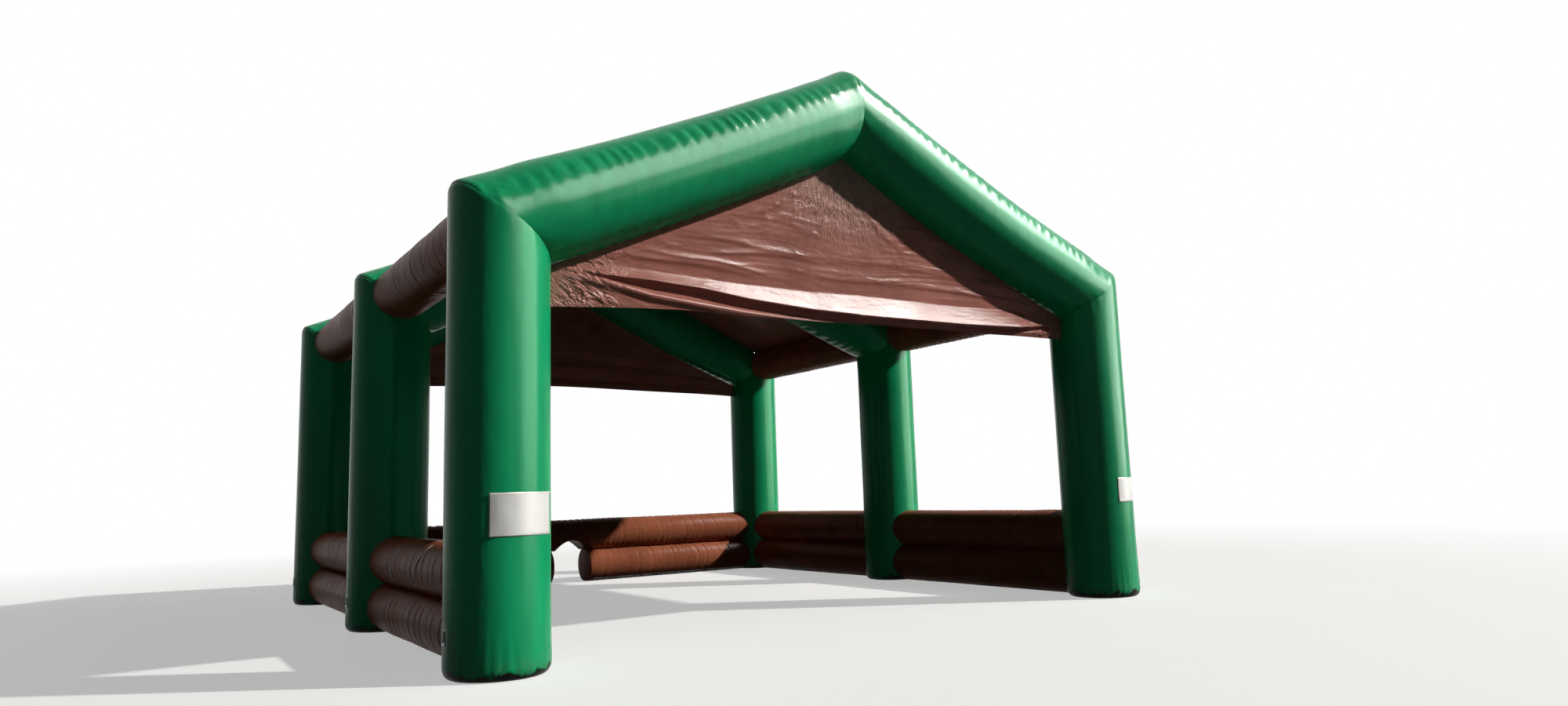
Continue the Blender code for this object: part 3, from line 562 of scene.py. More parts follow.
def panelVinyl(name, look, width, height):
    # Smooth white banner vinyl with a stitched border and a little dirt along its edges.
    made, tree, shader, place, metres = newMaterial(name)
    x, y = splitAxes(tree, metres)[:2]
    nearest = x
    for side in (calc(tree, "SUBTRACT", width, x), y, calc(tree, "SUBTRACT", height, y)):
        nearest = calc(tree, "MINIMUM", nearest, side)
    threads = stitches(tree, look, calc(tree, "ADD", x, y), calc(tree, "SUBTRACT", nearest, look["border"]))
    faded = fadedBy(tree, look, place)
    dirt = spread(tree, nearest, 0.0, look["dirtWidth"], look["dirt"], 0.0)
    cloth = mix(tree, dirt, faded["Color"], (*look["dirtColor"], 1))
    finishShader(tree, shader, mix(tree, threads, cloth, (*look["stitchColor"], 1)),
                 noiseSpread(tree, faded["Mask"], *look["roughness"]), look["specular"])
    creases = creasesOf(tree, place, look["crease"], look["stretch"])
    bumpBy(tree, shader, [(creases, look["creaseDepth"], 0.3), (threads, 0.0008, 0.6)])
    return made


def webbingStrap(name, look):
    # Flat woven webbing: ribs across it and a weaker, wider rib along it.
    made, tree, shader, place, metres = newMaterial(name)
    x, y = splitAxes(tree, metres)[:2]
    weaker = product(tree, sineOf(tree, x, look["edgeRib"]), 0.5)
    ribs = calc(tree, "ADD", sineOf(tree, y, look["rib"]), weaker)
    tone = spread(tree, ribs, -1.5, 1.5, *look["tone"])
    faded = fadedBy(tree, look, place)
    toned = add(tree, "HueSaturation", {"Value": tone, "Color": faded["Color"]}).outputs[0]
    dustAndShade = use(tree, dust, {"Color": toned, "Position": place, "Height": look["dustHeight"],
                             "Amount": look["dust"]})
    finishShader(tree, shader, dustAndShade["Color"], spread(tree, ribs, -1.5, 1.5, *look["roughness"]),
                 look["specular"])
    bumpBy(tree, shader, [(ribs, look["ribDepth"], 0.6)])
    return made


def zincSteel(name):
    # Bright zinc plate on bent wire: crystal patches and dull rubbed spots.
    made, tree, shader, place, _ = newMaterial(name)
    patches = add(tree, "TexVoronoi", {"Vector": place, "Scale": 260.0})
    rubbed = noiseAt(tree, place, 90.0, 4.0)
    tone = spread(tree, patches.outputs["Distance"], 0.0, 0.7, 0.42, 0.62)
    cool = {number: product(tree, tone, share) for number, share in ((1, 1.01), (2, 1.04))}
    plug(tree, shader.inputs["Base Color"], add(tree, "CombineColor", {0: tone, **cool}).outputs[0])
    plug(tree, shader.inputs["Roughness"], noiseSpread(tree, rubbed, 0.22, 0.48))
    shader.inputs["Metallic"].default_value = 1.0
    bumpBy(tree, shader, [(rubbed, 0.0002, 0.3)])
    return made


def greys(tree, share, dark, light):
    # Between two near blacks, each a shade cooler than grey.
    return mix(tree, spread(tree, share, -1, 1, 0, 1), (dark[0], *dark, 1), (light[0], *light, 1))


def zipTape(name, look):
    # Black woven tape with a chain of moulded teeth up its middle.
    made, tree, shader, place, _ = newMaterial(name)
    x, _, z = splitAxes(tree, place)
    away = calc(tree, "ABSOLUTE", calc(tree, "SUBTRACT", x, look["middleX"]))
    chain = calc(tree, "LESS_THAN", away, look["chainHalf"])
    teeth = sineOf(tree, z, look["tooth"])
    knit = product(tree, sineOf(tree, x, look["knit"]), sineOf(tree, z, look["knit"]))
    tooth = greys(tree, teeth, (0.01, 0.011), (0.09, 0.095))
    tape = greys(tree, knit, (0.012, 0.014), (0.03, 0.033))
    plug(tree, shader.inputs["Base Color"], mix(tree, chain, tape, tooth))
    plug(tree, shader.inputs["Roughness"], spread(tree, chain, 0, 1, 0.85, 0.35))
    height = calc(tree, "ADD", product(tree, chain, teeth), product(tree, knit, 0.15))
    bumpBy(tree, shader, [(height, look["depth"], 0.6)])
    return made


greenVinyl = coatedCloth("green vinyl", greenLook)
brownVinyl = coatedCloth("brown vinyl", brownLook)
brownCanvas = wovenCloth("brown canvas", canvasLook)
gableCanvas = wovenCloth("gable canvas", canvasLook, gablePulls)
greyWebbing = webbingStrap("grey webbing", webbingLook)
paleWebbing = webbingStrap("pale webbing", paleLook)
steel = zincSteel("zinc steel")
print("materials made")


# The arches. A leg's turn is 0 on its outer side and grows towards the front; a rafter's
# turn is 0 on top, so both meet turn for turn at the mitre.
legLook = {
    "columns": 96,
    "rowStep": 0.03,
    "gathers": 34,  # folds round the foot
    "gatherDepth": 0.008,
    "gatherHeight": 0.38,
    "flats": 13,  # long soft flats round the tube
    "flatDepth": 0.0035,
    "flatLength": 2.2,
    "broadDepth": 0.002,  # of wider, shorter hollows
    "broadLength": 0.8,
    "liftReach": 0.6,  # how far below the eave the outer side is drawn up
}
rafterLook = {
    "rowStep": 0.024,
    "seamTurn": 0.98,  # of the upper seam, from the top towards the front
    "seamDip": 0.004,
    "seamWidth": 0.05,
    "pucker": 0.009,
    "puckerLength": 0.15,
    "puckerSpread": 0.24,
    "calmShare": 0.4,  # how much of the puckers is left at the ridge
    "calmFrom": 0.2,  # they grow from here to there, from the ridge
    "calmTo": 2.0,
    "underPucker": 0.005,
}
mitreLook = {"round": {"eave": 0.06, "ridge": 0.08}, "crease": 0.006, "creaseReach": 0.025, "pucker": 0.0035,
             "puckerReach": 0.12, "puckers": 23, "seamFrom": -0.1}
flatPatches = {  # where a rigid piece lies on a leg, as (turn, half width, low z, high z)
    "anchor": (0.0, 0.15, 0.26, 0.44),
    "zip": (-math.pi / 2, 0.06, 0.36, 1.06),
}
flatLift = 0.4566  # from the leg's axis to such a flat


def footRadius(z):
    # A quarter of an ellipse from the flat disc on the ground out to the tube's full radius.
    share = np.clip(1 - z / arch["footRise"], 0, 1)
    grow = arch["radius"] - arch["footRadius"]
    return arch["footRadius"] + grow * np.sqrt(np.clip(1 - share**2, 0, 1))


def mitreDip(away, turn, end, seed):
    # The outer side is rounded over the mitre: a parabola whose slope at the seam is half
    # the bend. Inside the bend the seam cuts in, with puckers.
    look = mitreLook
    outer, inner = np.clip(np.cos(turn), 0, 1), eased(-np.cos(turn), look["seamFrom"], 0.6)
    length = look["round"][end]
    corner = math.tan(bends[end] / 2) * outer * np.clip(length - away, 0, None) ** 2 / (2 * length)
    wander = 1.6 * softNoise(away * 2, turn * 9 / full, seed, 9)
    puckers = np.cos(look["puckers"] * turn + wander) * bell(away, look["puckerReach"])
    puckers *= eased(away, 0.0, 0.03)
    crease = look["crease"] * inner * np.exp(-away / look["creaseReach"])
    return look["pucker"] * (0.15 + 0.85 * inner) * puckers - corner - crease


def legRadius(z, turn, away, seed):
    # The foot's profile, long flats, gathers that fan out above the foot, and the mitre.
    look = legLook
    flats = softNoise(z / look["flatLength"] + 3, turn * look["flats"] / full, seed, look["flats"])
    broad = look["broadDepth"] * softNoise(z / look["broadLength"], turn * 5 / full, seed + 1, 5)
    wander = 3.6 * softNoise(z * 1.5, turn * 11 / full, seed + 2, 11)
    depth = look["gatherDepth"] * np.exp(-z / look["gatherHeight"]) * eased(z, -0.02, 0.07)
    depth = depth * (0.5 + 0.5 * softNoise(z, turn * 17 / full, seed + 3, 17))
    gathers = depth * np.cos(look["gathers"] * turn + wander)
    mitre = mitreDip(away, turn, "eave", seed + 4)
    radius = footRadius(z) + look["flatDepth"] * flats + broad + gathers + mitre
    for middle, half, low, high in flatPatches.values():
        off = np.abs(apart(turn, middle))
        within = eased(z, low - 0.05, low) * (1 - eased(z, high, high + 0.05))
        share = (1 - eased(off, half, half * 1.6)) * within
        radius = radius * (1 - share) + share * flatLift / np.cos(np.minimum(off, 1.0))
    return radius


def legTop(turn, radius):
    # Height at which a leg's side meets the mitre plane.
    direction = outwards(turn, left)
    return arch["eaveZ"] - (direction @ eaveCut) / (up @ eaveCut) * radius


def makeLeg(name, side, y, seed):
    # Rows of rings up the leg; each ring's point is axis + direction * radius, and the rings
    # tilt little by little until the last lies in the mitre plane.
    look = legLook
    turn = turnsOf(look["columns"])
    foot = arch["footRise"] * (1 - np.cos(np.linspace(0, math.pi / 2, 9)))
    shaft = np.arange(arch["footRise"] + look["rowStep"], arch["eaveZ"] - 0.3, look["rowStep"])
    heights = np.concatenate([foot, shaft])
    close = 1 - np.geomspace(0.3 / arch["eaveZ"], 0.0012, 22)
    share = np.concatenate([heights / arch["eaveZ"], close, [1.0]])[:, None]
    top = legTop(turn, arch["radius"])[None, :]
    radius = legRadius(share * top, turn[None, :], (1 - share) * top, seed)
    away = (1 - share) * top
    lift = np.clip(np.cos(turn), 0, 1) ** 2 * np.clip(1 - away / look["liftReach"], 0, 1) ** 2
    z = share * legTop(turn, radius) + arch["lift"]["eave"] * lift
    points = outwards(turn, left)[None] * radius[..., None] + z[..., None] * up
    points = points + np.array((-legX, y, 0.0))
    if side == "right":
        points[..., 0] *= -1
    uv = ringMetres(turn, arch["radius"], share * arch["eaveZ"])
    return tube(name, points, uv, firstTip=np.array((-legX if side == "left" else legX, y, 0.0)))


def rafterRadius(reach, turn, fromEave, fromRidge, seed):
    # A tube that swells half way, with a gathered seam along its upper front, a smaller one
    # underneath, soft dents and a mitre at each end.
    look = rafterLook
    wander = 0.55 * softNoise(reach / 0.5, 0.0, seed)
    size = 0.62 + 0.38 * softNoise(reach / 0.34, 0.5, seed + 1)
    wave = np.cos(full * (reach / look["puckerLength"] + wander)) + 0.3 * np.cos(
        full * (reach / (0.53 * look["puckerLength"]) + 1.7 * wander))
    off = apart(turn, look["seamTurn"])
    least = look["calmShare"]
    size = size * (least + (1 - least) * eased(fromRidge, look["calmFrom"], look["calmTo"]))
    upper = look["pucker"] * size * wave * bell(off, look["puckerSpread"])
    dip = look["seamDip"] * bell(off, look["seamWidth"])
    below = apart(turn, math.pi)
    lower = look["underPucker"] * np.cos(full * (reach / 0.17 + 0.8 * wander)) * bell(below, 0.4)
    dents = 0.004 * softNoise(reach / 0.9, turn * 6 / full, seed + 2, 6)
    ends = mitreDip(fromEave, turn, "eave", seed + 3) + mitreDip(fromRidge, turn, "ridge", seed + 4)
    seams = dip + look["seamDip"] * 0.6 * bell(below, 0.04)
    return arch["radius"] + swellAt(reach) + upper + lower + dents + ends - seams


def makeRafter(name, side, y, seed):
    # As a leg, along the slope, with both ends slid onto their mitre planes.
    turn = turnsOf(legLook["columns"])
    direction = outwards(turn, above)
    lowSlide = -(direction @ eaveCut) / (slope @ eaveCut)
    highSlide = -(direction @ ridgeCut) / (slope @ ridgeCut)
    near = np.geomspace(0.0012, 0.06, 12)
    middle = np.linspace(0.06, 0.94, round(0.88 * rafterLength / rafterLook["rowStep"]))[1:-1]
    share = np.concatenate([[0.0], near, middle, 1 - near[::-1], [1.0]])[:, None]

    def placed(radius):
        return (1 - share) * lowSlide * radius + share * (rafterLength + highSlide * radius)

    reach = placed(arch["radius"])
    fromEave, fromRidge = reach - reach[:1], reach[-1:] - reach
    radius = rafterRadius(reach, turn[None, :], fromEave, fromRidge, seed)
    reach = placed(radius)
    points = direction[None] * radius[..., None] + reach[..., None] * slope
    points = points - (arch["sag"][side] * np.sin(math.pi * share))[..., None] * above
    points = points + (liftAt(turn, fromEave, "eave") + liftAt(turn, fromRidge, "ridge"))[..., None] * up
    points = points + np.array((-legX, y, arch["eaveZ"]))
    if side == "right":
        points[..., 0] *= -1
    return tube(name, points, ringMetres(turn, arch["radius"], share * rafterLength))


def archReach(x, z):
    # Half the depth of an arch's tube at (x, z): how far from the arch's plane a piece
    # that comes from the side meets it. The mitre plane parts leg from rafter.
    inward, rise = legX - np.abs(x), z - arch["eaveZ"]
    onLeg = inward * eaveCut[0] + rise * eaveCut[2] < 0
    reach = inward * slope[0] + rise * slope[2]
    off = np.where(onLeg, inward, inward * above[0] + rise * above[2] + sagAt(reach, x > 0))
    radius = np.where(onLeg, footRadius(z), arch["radius"] + swellAt(reach))
    return np.sqrt(np.clip(radius**2 - off**2, 0.02, None))


seeds = {}
for number, name in enumerate(arch["names"]):
    for side in ("left", "right"):
        seeds[f"{name}_{side}"] = 100 * (number + 1) + (50 if side == "right" else 0)
for name in arch["names"]:
    for side in ("left", "right"):
        seed = seeds[f"{name}_{side}"]
        leg = makeLeg(f"{name}_{side}_leg_skin", side, archY[name], seed)
        dress(leg, greenVinyl, [f"{name}_{side}_leg"])
        rafter = makeRafter(f"{name}_{side}_rafter_skin", side, archY[name], seed + 20)
        dress(rafter, greenVinyl, [f"{name}_{side}_rafter"])
print("arches made")


# Eave beams and side walls: tubes along Y, coped on the arches at both ends
beamLook = {"radius": 0.325, "z": 4.07, "columns": 72, "rowStep": 0.028, "pucker": 0.006,
            "puckerLength": 0.16, "ring": 0.28, "ringDepth": 0.006, "ringWidth": 0.018, "endDraw": 0.03,
            "endReach": 0.07}
wallLook = {
    "lower": {"radius": 0.30, "z": 0.295, "low": 0.0, "high": 0.568},
    "upper": {"radius": 0.285, "z": 0.825, "low": 0.568, "high": 1.2},
    "columns": 72,
    "rowStep": 0.024,
    "ring": 0.27,  # from one pucker line to the next
    "ringDepth": 0.008,
    "ringWidth": 0.016,
    "pucker": 0.0055,
    "puckerLength": 0.12,
}


# Seams along beams and walls: how wide the gathers and the dip are, in radians, and in metres
# how deep the dip and the dents between seams are and how much a pucker line across bends
seamLook = {"spread": 0.5, "width": 0.06, "dip": 0.005, "dents": 0.004, "wander": 0.012}


def rings(reach, span, pitch, depth, width, seed):
    # Narrow dips across a tube, about a pitch apart, each at its own small offset.
    count = max(1, round(span / pitch))
    draw = np.random.default_rng(seed)
    places = (np.arange(1, count) + draw.uniform(-0.22, 0.22, count - 1)) * span / count
    depths = depth * draw.uniform(0.45, 1.0, count - 1)
    away = reach[..., None] - places
    return -(depths * bell(away, width)).sum(axis=-1)


def tubeRadius(base, reach, turn, span, look, seams, seed):
    # A plain tube with pucker lines across it, gathers beside its seams and soft dents.
    wander = 0.5 * softNoise(reach / 0.4, 0.0, seed)
    wave = np.cos(full * (reach / look["puckerLength"] + wander))
    wave = wave * (0.6 + 0.4 * softNoise(reach / 0.3, 0.3, seed + 1))
    near, line = (sum(bell(apart(turn, seam), seamLook[key]) for seam in seams) for key in ("spread", "width"))
    dents = seamLook["dents"] * softNoise(reach / 0.5, turn * 5 / full, seed + 2, 5)
    bent = reach + seamLook["wander"] * softNoise(turn * 7 / full, 0.0, seed + 4, 512)
    across = rings(bent, span, look["ring"], look["ringDepth"], look["ringWidth"], seed + 3)
    return base + look["pucker"] * wave * near - seamLook["dip"] * line + dents + across


def coped(start, end, x, z, share):
    # Where a piece meets the arches' tubes, and its Y in between.
    stop = archReach(x, z) - arch["sewnIn"]
    low, high = start + stop, end - stop
    return low, high, low + (high - low) * share


def makeBeam(name, side, start, end, seed):
    # Rings round an axis along Y; the turn is 0 on top and grows outwards. Each end is drawn
    # in a little and stops where it meets the arch's tube.
    look = beamLook
    turn = turnsOf(look["columns"])
    span = end - start
    share = endShares(span, look["rowStep"])
    reach = share * span
    radius = tubeRadius(look["radius"], np.broadcast_to(reach, (len(share), len(turn))), turn[None, :], span,
                        look, (0.6, math.pi), seed)
    x, z = -legX - np.sin(turn) * radius, look["z"] + np.cos(turn) * radius
    low, high, y = coped(start, end, x, z, share)
    drawn = look["endDraw"] * (bell(y - low, look["endReach"]) + bell(high - y, look["endReach"]))
    drawn = drawn * (1 + 0.5 * np.cos(21 * turn + 2 * softNoise(turn * 3, 0.0, seed + 9)))
    radius = radius - drawn
    x, z = -legX - np.sin(turn) * radius, look["z"] + np.cos(turn) * radius
    return tube(name, onSide(side, x, y, z), ringMetres(turn, look["radius"], share * span))


def chamber(part, turn, radius):
    # A chamber's outline as (thickness, height): a circle, flat where it is sewn or stands.
    look = wallLook[part]
    return radius * np.cos(turn), np.clip(look["z"] + radius * np.sin(turn), look["low"], look["high"])


def wallRadius(part, reach, turn, span, seed):
    # Gathers run along the waist seam and, more faintly, along the top.
    waist = -0.9 if part == "upper" else 1.15
    return tubeRadius(wallLook[part]["radius"], reach, turn, span, wallLook,
                      (waist, math.pi - waist, math.pi / 2), seed)


def wallRings(part, reach, span, seed):
    # A chamber's outlines along a wall, as thickness and height, and its UV metres.
    turn = turnsOf(wallLook["columns"])
    radius = wallRadius(part, np.broadcast_to(reach, (len(reach), len(turn))), turn[None, :], span, seed)
    thick, z = chamber(part, turn[None, :], radius)
    return thick, z, ringMetres(turn, wallLook[part]["radius"], reach)


def makeSideWall(name, part, side, start, end, seed):
    # The outline carried along Y between two legs, each end shaped to the round leg.
    span = end - start
    share = endShares(span, wallLook["rowStep"])
    thick, z, uv = wallRings(part, share * span, span, seed)
    x = -legX - thick
    _, _, y = coped(start, end, x, z, share)
    return tube(name, onSide(side, x, y, z), uv, crease=40)


bays = (("front", archY["front"], archY["middle"]), ("rear", archY["middle"], archY["rear"]))
for number, (bayName, start, end) in enumerate(bays):
    for side in ("left", "right"):
        seed = 1000 + 100 * number + (50 if side == "right" else 0)
        beam = makeBeam(f"{bayName}_{side}_eave_log", side, start, end, seed)
        dress(beam, brownVinyl, [f"{bayName}_{side}_eave_beam"])
        for part in ("lower", "upper"):
            log = makeSideWall(f"{bayName}_{side}_{part}_log", part, side, start, end, seed + 10)
            dress(log, brownVinyl, [f"{bayName}_{side}_wall_{part}"])
print("beams and side walls made")


# The rear wall, with its arched hole
holeLook = {"x": -0.03, "width": 0.66, "spring": 0.44, "top": 0.745, "rounding": 0.05, "drawnIn": 0.90,
            "bulge": 0.008}


def holeHeight(x):
    # The hole's arch: a half ellipse above its spring line, and nothing outside its width.
    share = np.clip(np.abs(x - holeLook["x"]) / (holeLook["width"] / 2), 0, 1)
    rise = holeLook["top"] - holeLook["spring"]
    return np.where(share < 1, holeLook["spring"] + rise * np.sqrt(1 - share**2), 0.0)


def holeEdge(sign):
    # How far the hole's edge lies from the middle of the tent, on the side of that sign.
    return sign * (holeLook["x"] + sign * holeLook["width"] / 2)


def legStop(y, z):
    # X at which a piece along the rear wall meets the leg.
    return legX - np.sqrt(np.clip(footRadius(z) ** 2 - y**2, 0.02, None)) + arch["sewnIn"]


def makeRearUpper(name, seed):
    # The outline carried along X from leg to leg; its underside rises over the hole's arch.
    half = holeLook["width"] / 2 + 0.02
    fine = np.linspace(holeLook["x"] - half, holeLook["x"] + half, 90)
    coarse = endShares(2 * legX, wallLook["rowStep"])[:, 0] * 2 * legX - legX
    along = np.concatenate([coarse[coarse < fine[0]], fine, coarse[coarse > fine[-1]]])[:, None]
    thick, z, uv = wallRings("upper", along + legX, 2 * legX, seed)
    z = np.maximum(z, holeHeight(along))
    x = along * legStop(thick, z) / legX
    return tube(name, np.stack([x, archY["rear"] - thick, z], 2), uv, crease=40)


def makeRearLower(name, side, seed):
    # The outline carried along X from the hole, where it is drawn in and rounded, to the leg.
    middle = archY["rear"]
    sign = -1 if side == "left" else 1
    edge, rounding = holeEdge(sign), holeLook["rounding"]
    span = legX - edge
    rounded = rounding * (1 - np.cos(np.linspace(0, math.pi / 2, 10)[:-1]))
    rest = rounding + endShares(span, wallLook["rowStep"])[:, 0] * (span - rounding)
    along = edge + np.concatenate([rounded, rest])[:, None]
    inset = 1 - np.clip((along - edge) / rounding, 0, 1)
    draw = (1 - holeLook["drawnIn"]) * (1 - np.sqrt(1 - inset**2))
    thick, z, uv = wallRings("lower", along - edge, span, seed)
    centre = (wallLook["lower"]["low"] + wallLook["lower"]["high"]) / 2
    thick, z = thick * (1 - draw), centre + (z - centre) * (1 - 0.3 * draw)
    stop = legStop(thick, z)
    x = sign * (edge + (along - edge) * (stop - edge) / span)
    tip = np.array((sign * (edge - holeLook["bulge"]), middle, centre))
    return tube(name, np.stack([x, middle - thick, z], 2), uv, crease=40, firstTip=tip)


rearUpper = makeRearUpper("rear_upper_log", 1400)
dress(rearUpper, brownVinyl, ["rear_wall_upper"])
for side, seed in (("left", 1450), ("right", 1470)):
    log = makeRearLower(f"rear_lower_log_{side}", side, seed)
    dress(log, brownVinyl, [f"rear_wall_lower_{side}"])
print("rear wall made")


# Gable cloths. A fold is a soft ridge along a bent line, as points (x, z), with how far it
# stands out, its half width and how sharply its lower side drops.
frontCloth = {
    "hem": ((-3.6, 3.285), (-3.2, 3.300), (-2.7, 3.333), (-2.1, 3.343), (-1.5, 3.332), (-0.7, 3.332),
            (0.3, 3.350), (1.3, 3.358), (2.5, 3.355), (3.6, 3.372)),
    "calm": (0.3, 3.72, 3.90),  # how much of the hanging creases is left on the shelf, and up to where
    # creases that fan from a corner, as (corner, count, looseness, depth, reach)
    "peak": ((0.0, 5.32), 62, 1.6, 0.018, 0.70),
    "corners": (((-3.62, 3.72), 60, 1.2, 0.018, 0.9), ((3.62, 3.72), 54, 1.3, 0.012, 0.9)),
    "billow": 0.05,
    "columns": 300,
    "rows": 140,
    # the shelf-like fold above the hem, as (x, its top, its crest, how far that stands out,
    # the foot of the valley below, the second crest, how far that stands out)
    "shelf": (
        (-3.6, 3.70, 3.67, 0.000, 3.65, 3.62, 0.000),
        (-3.3, 3.71, 3.66, 0.020, 3.64, 3.60, 0.025),
        (-3.0, 3.74, 3.635, 0.050, 3.60, 3.555, 0.050),
        (-2.5, 3.73, 3.615, 0.070, 3.50, 3.45, 0.060),
        (-1.95, 3.70, 3.577, 0.080, 3.45, 3.40, 0.055),
        (-1.4, 3.68, 3.505, 0.092, 3.40, 3.36, 0.045),
        (-0.6, 3.67, 3.450, 0.098, 3.36, 3.34, 0.015),
        (0.2, 3.68, 3.430, 0.104, 3.35, 3.33, 0.000),
        (1.7, 3.67, 3.435, 0.112, 3.38, 3.36, 0.000),
        (2.66, 3.70, 3.462, 0.120, 3.43, 3.41, 0.025),
        (3.2, 3.62, 3.530, 0.056, 3.48, 3.445, 0.035),
        (3.6, 3.58, 3.560, 0.000, 3.50, 3.46, 0.000),
    ),
    "folds": (
        (((-3.35, 3.58), (-3.27, 3.49), (-3.20, 3.40)), 0.022, 0.016, 0.8),
        (((-3.10, 3.46), (-3.04, 3.39), (-3.00, 3.34)), 0.018, 0.014, 0.8),
        (((-3.00, 3.43), (-2.94, 3.38), (-2.88, 3.34)), 0.018, 0.014, 0.8),
        (((-3.10, 3.84), (-2.50, 3.86), (-1.80, 3.84), (-1.20, 3.78)), 0.014, 0.045, 0.7),
        (((-2.60, 3.94), (-2.10, 3.90), (-1.70, 3.89), (-1.10, 3.80)), 0.012, 0.030, 0.5),
        (((-1.90, 3.96), (-1.40, 4.02), (-0.90, 4.04), (-0.30, 4.00)), 0.012, 0.035, 0.5),
        (((-2.20, 4.14), (-1.60, 4.14), (-1.00, 4.08), (-0.30, 4.07)), 0.010, 0.040, 0.5),
        (((3.40, 3.72), (2.60, 3.80), (1.50, 3.86), (0.40, 3.86), (-0.6, 3.84)), 0.012, 0.045, 0.6),
        (((3.10, 3.84), (2.20, 3.98), (1.20, 4.06), (0.20, 4.10)), 0.010, 0.050, 0.7),
        (((-0.20, 5.18), (-0.55, 4.90), (-0.95, 4.62), (-1.50, 4.38)), 0.012, 0.040, 0.8),
        (((-0.10, 5.15), (-0.25, 4.85), (-0.45, 4.55)), 0.012, 0.035, 0.8),
        (((0.10, 5.15), (0.20, 4.85), (0.45, 4.50), (0.85, 4.25)), 0.012, 0.045, 0.8),
    ),
}
rearCloth = {
    "hem": 3.40,
    "hemRise": 0.13,
    "billow": 0.05,
    "columns": 220,
    "rows": 90,
    # creases that fan from a corner, as (corner, count, depth)
    "fans": (((0.0, 5.32), 40, 0.018), ((-3.62, 3.74), 48, 0.014), ((3.62, 3.74), 52, 0.014)),
    "folds": (
        (((-3.5, 3.70), (-1.6, 3.62), (0.2, 3.68), (3.0, 3.62)), 0.030, 0.07, 0.6),
        (((3.5, 3.75), (1.6, 3.95), (0.2, 4.02), (-1.4, 4.0)), 0.028, 0.08, 0.7),
        (((-3.4, 3.80), (-2.0, 4.05), (-0.8, 4.12), (0.6, 4.1)), 0.022, 0.08, 0.7),
        (((0.0, 5.25), (0.1, 4.7), (0.3, 4.2), (0.3, 3.7)), 0.030, 0.10, 0.9),
    ),
}


def through(points, count):
    # A Catmull-Rom curve through all the points: each span is a cubic whose slope at a point
    # is half the step between that point's neighbours.
    points = np.array(points, float)
    padded = np.concatenate([[2 * points[0] - points[1]], points, [2 * points[-1] - points[-2]]])
    at = np.linspace(0, len(points) - 1, count)
    i = np.minimum(at.astype(int), len(points) - 2)
    t = (at - i)[:, None]
    a, b, c, d = (padded[i + k] for k in range(4))
    return 0.5 * (2 * b + (c - a) * t + (2 * a - 5 * b + 4 * c - d) * t**2 + (3 * b - a - 3 * c + d) * t**3)


def foldField(x, z, folds):
    # Each fold's height falls off as a bell from its line, at one width above the line and
    # another below it, and fades at both ends.
    total = np.zeros_like(x)
    for points, depth, width, drop in folds:
        line = through(points, 14 * len(points))
        best, where, side = np.full(x.shape, 1e9), np.zeros(x.shape), np.zeros(x.shape)
        for step in range(len(line) - 1):
            start, run = line[step], line[step + 1] - line[step]
            t = np.clip(((x - start[0]) * run[0] + (z - start[1]) * run[1]) / (run @ run), 0, 1)
            dx, dz = x - start[0] - t * run[0], z - start[1] - t * run[1]
            far = dx * dx + dz * dz
            closer = far < best
            best = np.where(closer, far, best)
            where = np.where(closer, (step + t) / (len(line) - 1), where)
            side = np.where(closer, (run[0] * dz - run[1] * dx) * np.sign(run[0]), side)
        wide = np.where(side > 0, width * 1.25, width * drop)
        total += depth * np.sin(math.pi * np.clip(where, 0.001, 0.999)) ** 0.6 * bell(np.sqrt(best), wide)
    return total


def shelf(x, z, table):
    # Slopes outwards at one tilt from its top line down to its crest, tucks back in, then
    # swells again to a second, smaller crest.
    at, top, crest, depth, valley, second, rise = np.array(table).T
    top, crest, depth, valley, second, rise = (
        np.interp(x, at, column) for column in (top, crest, depth, valley, second, rise))
    ramp = np.clip((top - z) / (top - crest), 0, 1) ** 1.1
    tuck = 0.9 * eased(crest - z, 0.0, 0.035)
    again = eased(valley - z, -0.03, 0.04) * (1 - 0.7 * eased(second - z, 0.0, 0.07))
    return depth * (ramp - tuck) + rise * again


def fan(x, z, corner, count, looseness, depth, reach, seed):
    # Fine creases that radiate from a corner: ridges by direction, wandering with distance,
    # that fade away from the corner.
    dx, dz = x - corner[0], z - corner[1]
    away = np.hypot(dx, dz)
    turn = np.arctan2(dz, dx)
    wander = 0.8 * softNoise(away / 0.35, turn * 3, seed) + 0.3 * softNoise(away / 0.12, turn * 9, seed + 1)
    ridge = 1 - np.abs(np.sin(count * turn / 2 + wander * looseness))
    strength = eased(away, 0.10, 0.40) * np.exp(-away / reach)
    some = 0.5 + 0.5 * softNoise(turn * count / 5, away / 0.5, seed + 2)
    return depth * (ridge**2) * strength * some


def crumple(x, z, size, stretch, seed):
    # Sharp random creases: the dark lines where a soft noise crosses zero, at three sizes.
    total = np.zeros_like(x)
    for octave in range(3):
        scale = size / 1.9**octave
        lean = 0.35 * octave
        a = (x * math.cos(lean) + z * math.sin(lean)) / (scale * stretch)
        b = (z * math.cos(lean) - x * math.sin(lean)) / scale
        a = a + 0.5 * softNoise(b * 0.7, a * 0.7, seed + 20 + octave)
        ridge = 1 - np.abs(softNoise(a, b, seed + octave)) * 2.2
        total += np.clip(ridge, 0, 1) ** 2 / 1.7**octave
    return total


